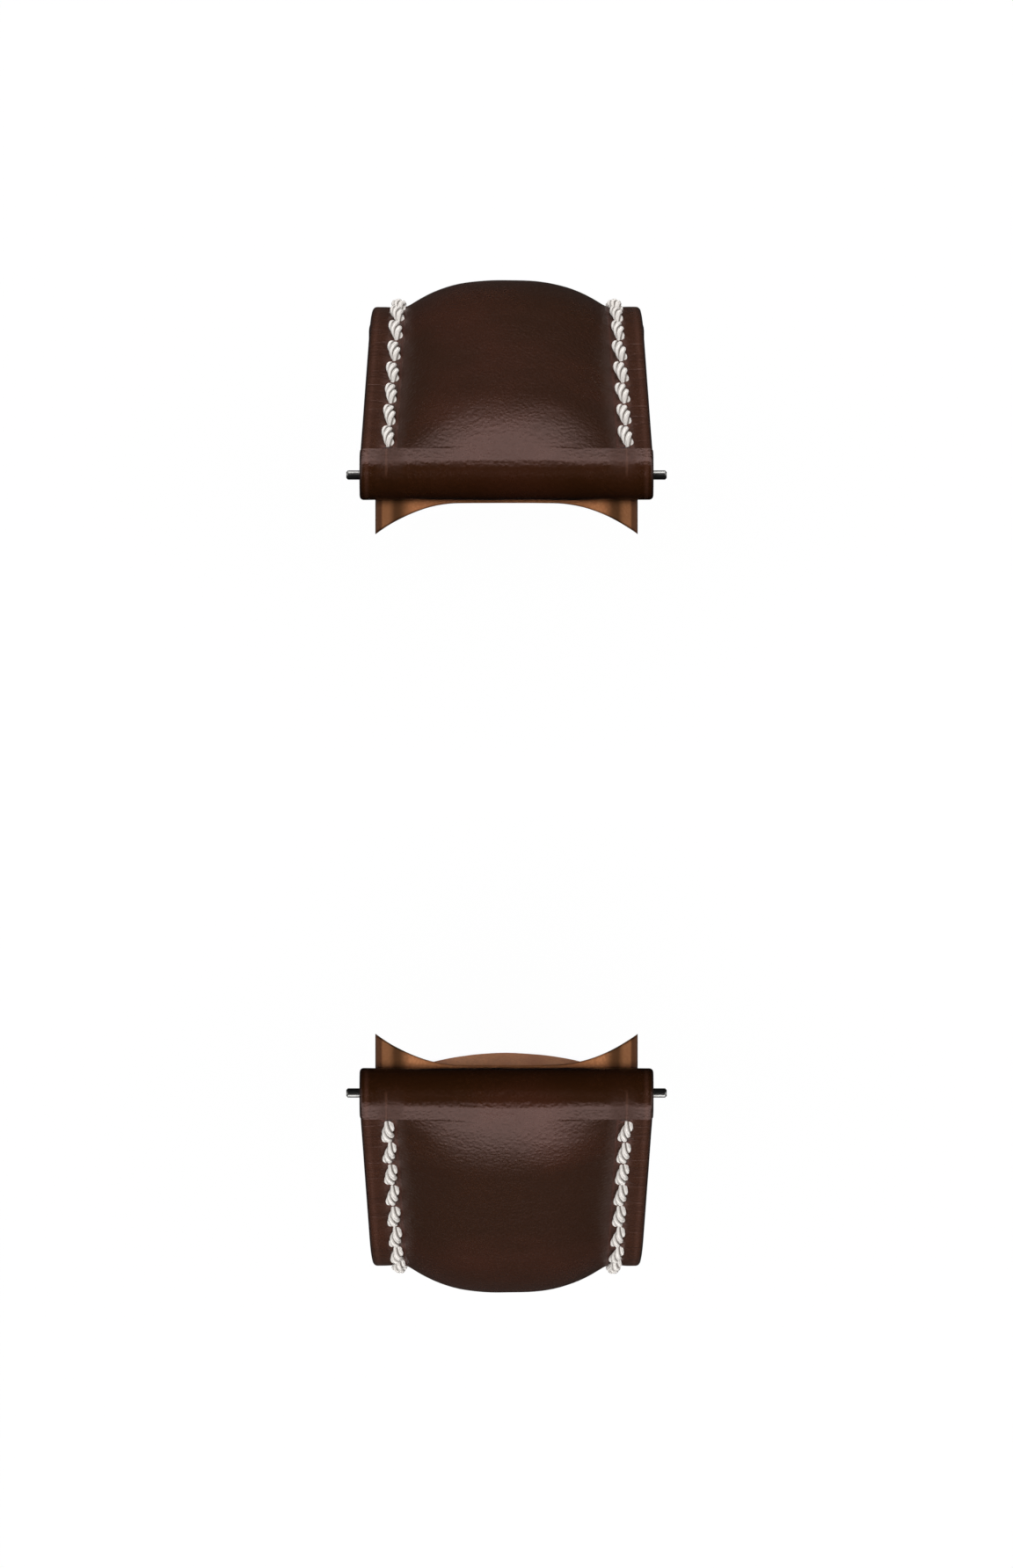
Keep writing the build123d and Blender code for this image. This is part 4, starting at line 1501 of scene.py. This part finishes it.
def keeper_ring(name, node, route, s):
    """Leather band round the strap, inside the space of its CAD node."""
    angle = float(route.angle(s))
    outward = Vector((0, math.sin(angle), math.cos(angle)))
    uphill = Vector((0, -math.cos(angle), math.sin(angle)))
    origin = Vector((0, *route.spot(s)))
    heights = [(v.co - origin).dot(outward) for v in nodes[node].data.vertices]
    half_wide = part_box(node)[1].x - keeper_wall / 2
    ring = keeper_path(half_wide, min(heights) + keeper_wall / 2, max(heights) - keeper_wall / 2)
    section = []
    for k in range(section_points):
        c, s_n = math.cos(2 * math.pi * k / section_points), math.sin(2 * math.pi * k / section_points)
        across = math.copysign(abs(c) ** band_flatness, c) * keeper_length / 2
        section.append((across, math.copysign(abs(s_n) ** band_edge, s_n) * keeper_wall / 2))
    points = []
    for x, h, turn in ring:
        normal = Vector((math.cos(turn), 0, 0)) + outward * math.sin(turn)
        middle = origin + Vector((x, 0, 0)) + outward * h
        points += [tuple(middle + normal * thick + uphill * across) for across, thick in section]
    faces = []
    for i in range(len(ring)):
        here, there = i * section_points, (i + 1) % len(ring) * section_points
        for k in range(section_points):
            after = (k + 1) % section_points
            faces.append((here + k, here + after, there + after, there + k))
    piece = finish_mesh(name, points, faces)
    across = [(v.co - origin).dot(uphill) for v in piece.data.vertices]
    keep_numbers(piece, "inset", keeper_length / 2 - np.abs(across))
    keep_numbers(piece, "along", np.full(len(across), no_row))
    return piece


fixed_keeper = keeper_ring("fixed_keeper_band", "fixed_keeper", upper, upper_length - fixed_from_bar)
free_keeper = keeper_ring("free_keeper_band", "free_keeper", upper, upper_length - free_from_bar)
keeper_calf = strap_leather("keeper_calf", no_row)

# %% [markdown]
# Every piece now gets its finish and the body that it moves with. Leather, thread and felt replace
# the plain solids that stood for them, while the metal pieces and the tape keep their own shapes.


# %% Finishes and bodies
def refinish(mesh, material):
    """Gives a mesh one material and no other."""
    mesh.materials.clear()
    mesh.materials.append(material)


for half_name in halves:
    body = f"{half_name}_strap"
    outer, backing = leathers[half_name]
    refinish(outer.data, outer_materials[half_name])
    refinish(backing.data, tan_calf)
    refinish(cores[half_name].data, felt)
    for piece, node, slot in (
        (outer, "outer_leather", "outer_leather"),
        (backing, "lining", "lining_leather"),
        (cores[half_name], "padding", "padding"),
    ):
        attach(piece, body)
        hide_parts(f"{half_name}_{node}")
    for side_name in ("left", "right"):
        thread = rows[(half_name, side_name)]
        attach(thread, body)
        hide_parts(f"{half_name}_stitching_{side_name}")

for piece, node, body in (
    (fixed_keeper, "fixed_keeper", "upper_strap"), (free_keeper, "free_keeper", "free_keeper"),
):
    refinish(piece.data, keeper_calf)
    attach(piece, body)
    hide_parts(node)

for node in nodes:
    if node.startswith(("buckle_frame", "buckle_tongue")):
        refinish(nodes[node].data, buckle_steel)
    elif "_bar_" in node:
        refinish(nodes[node].data, bar_steel)
    elif node.endswith("_tape"):
        refinish(nodes[node].data, nylon)
    elif node.endswith("_seam"):
        refinish(nodes[node].data, linen)
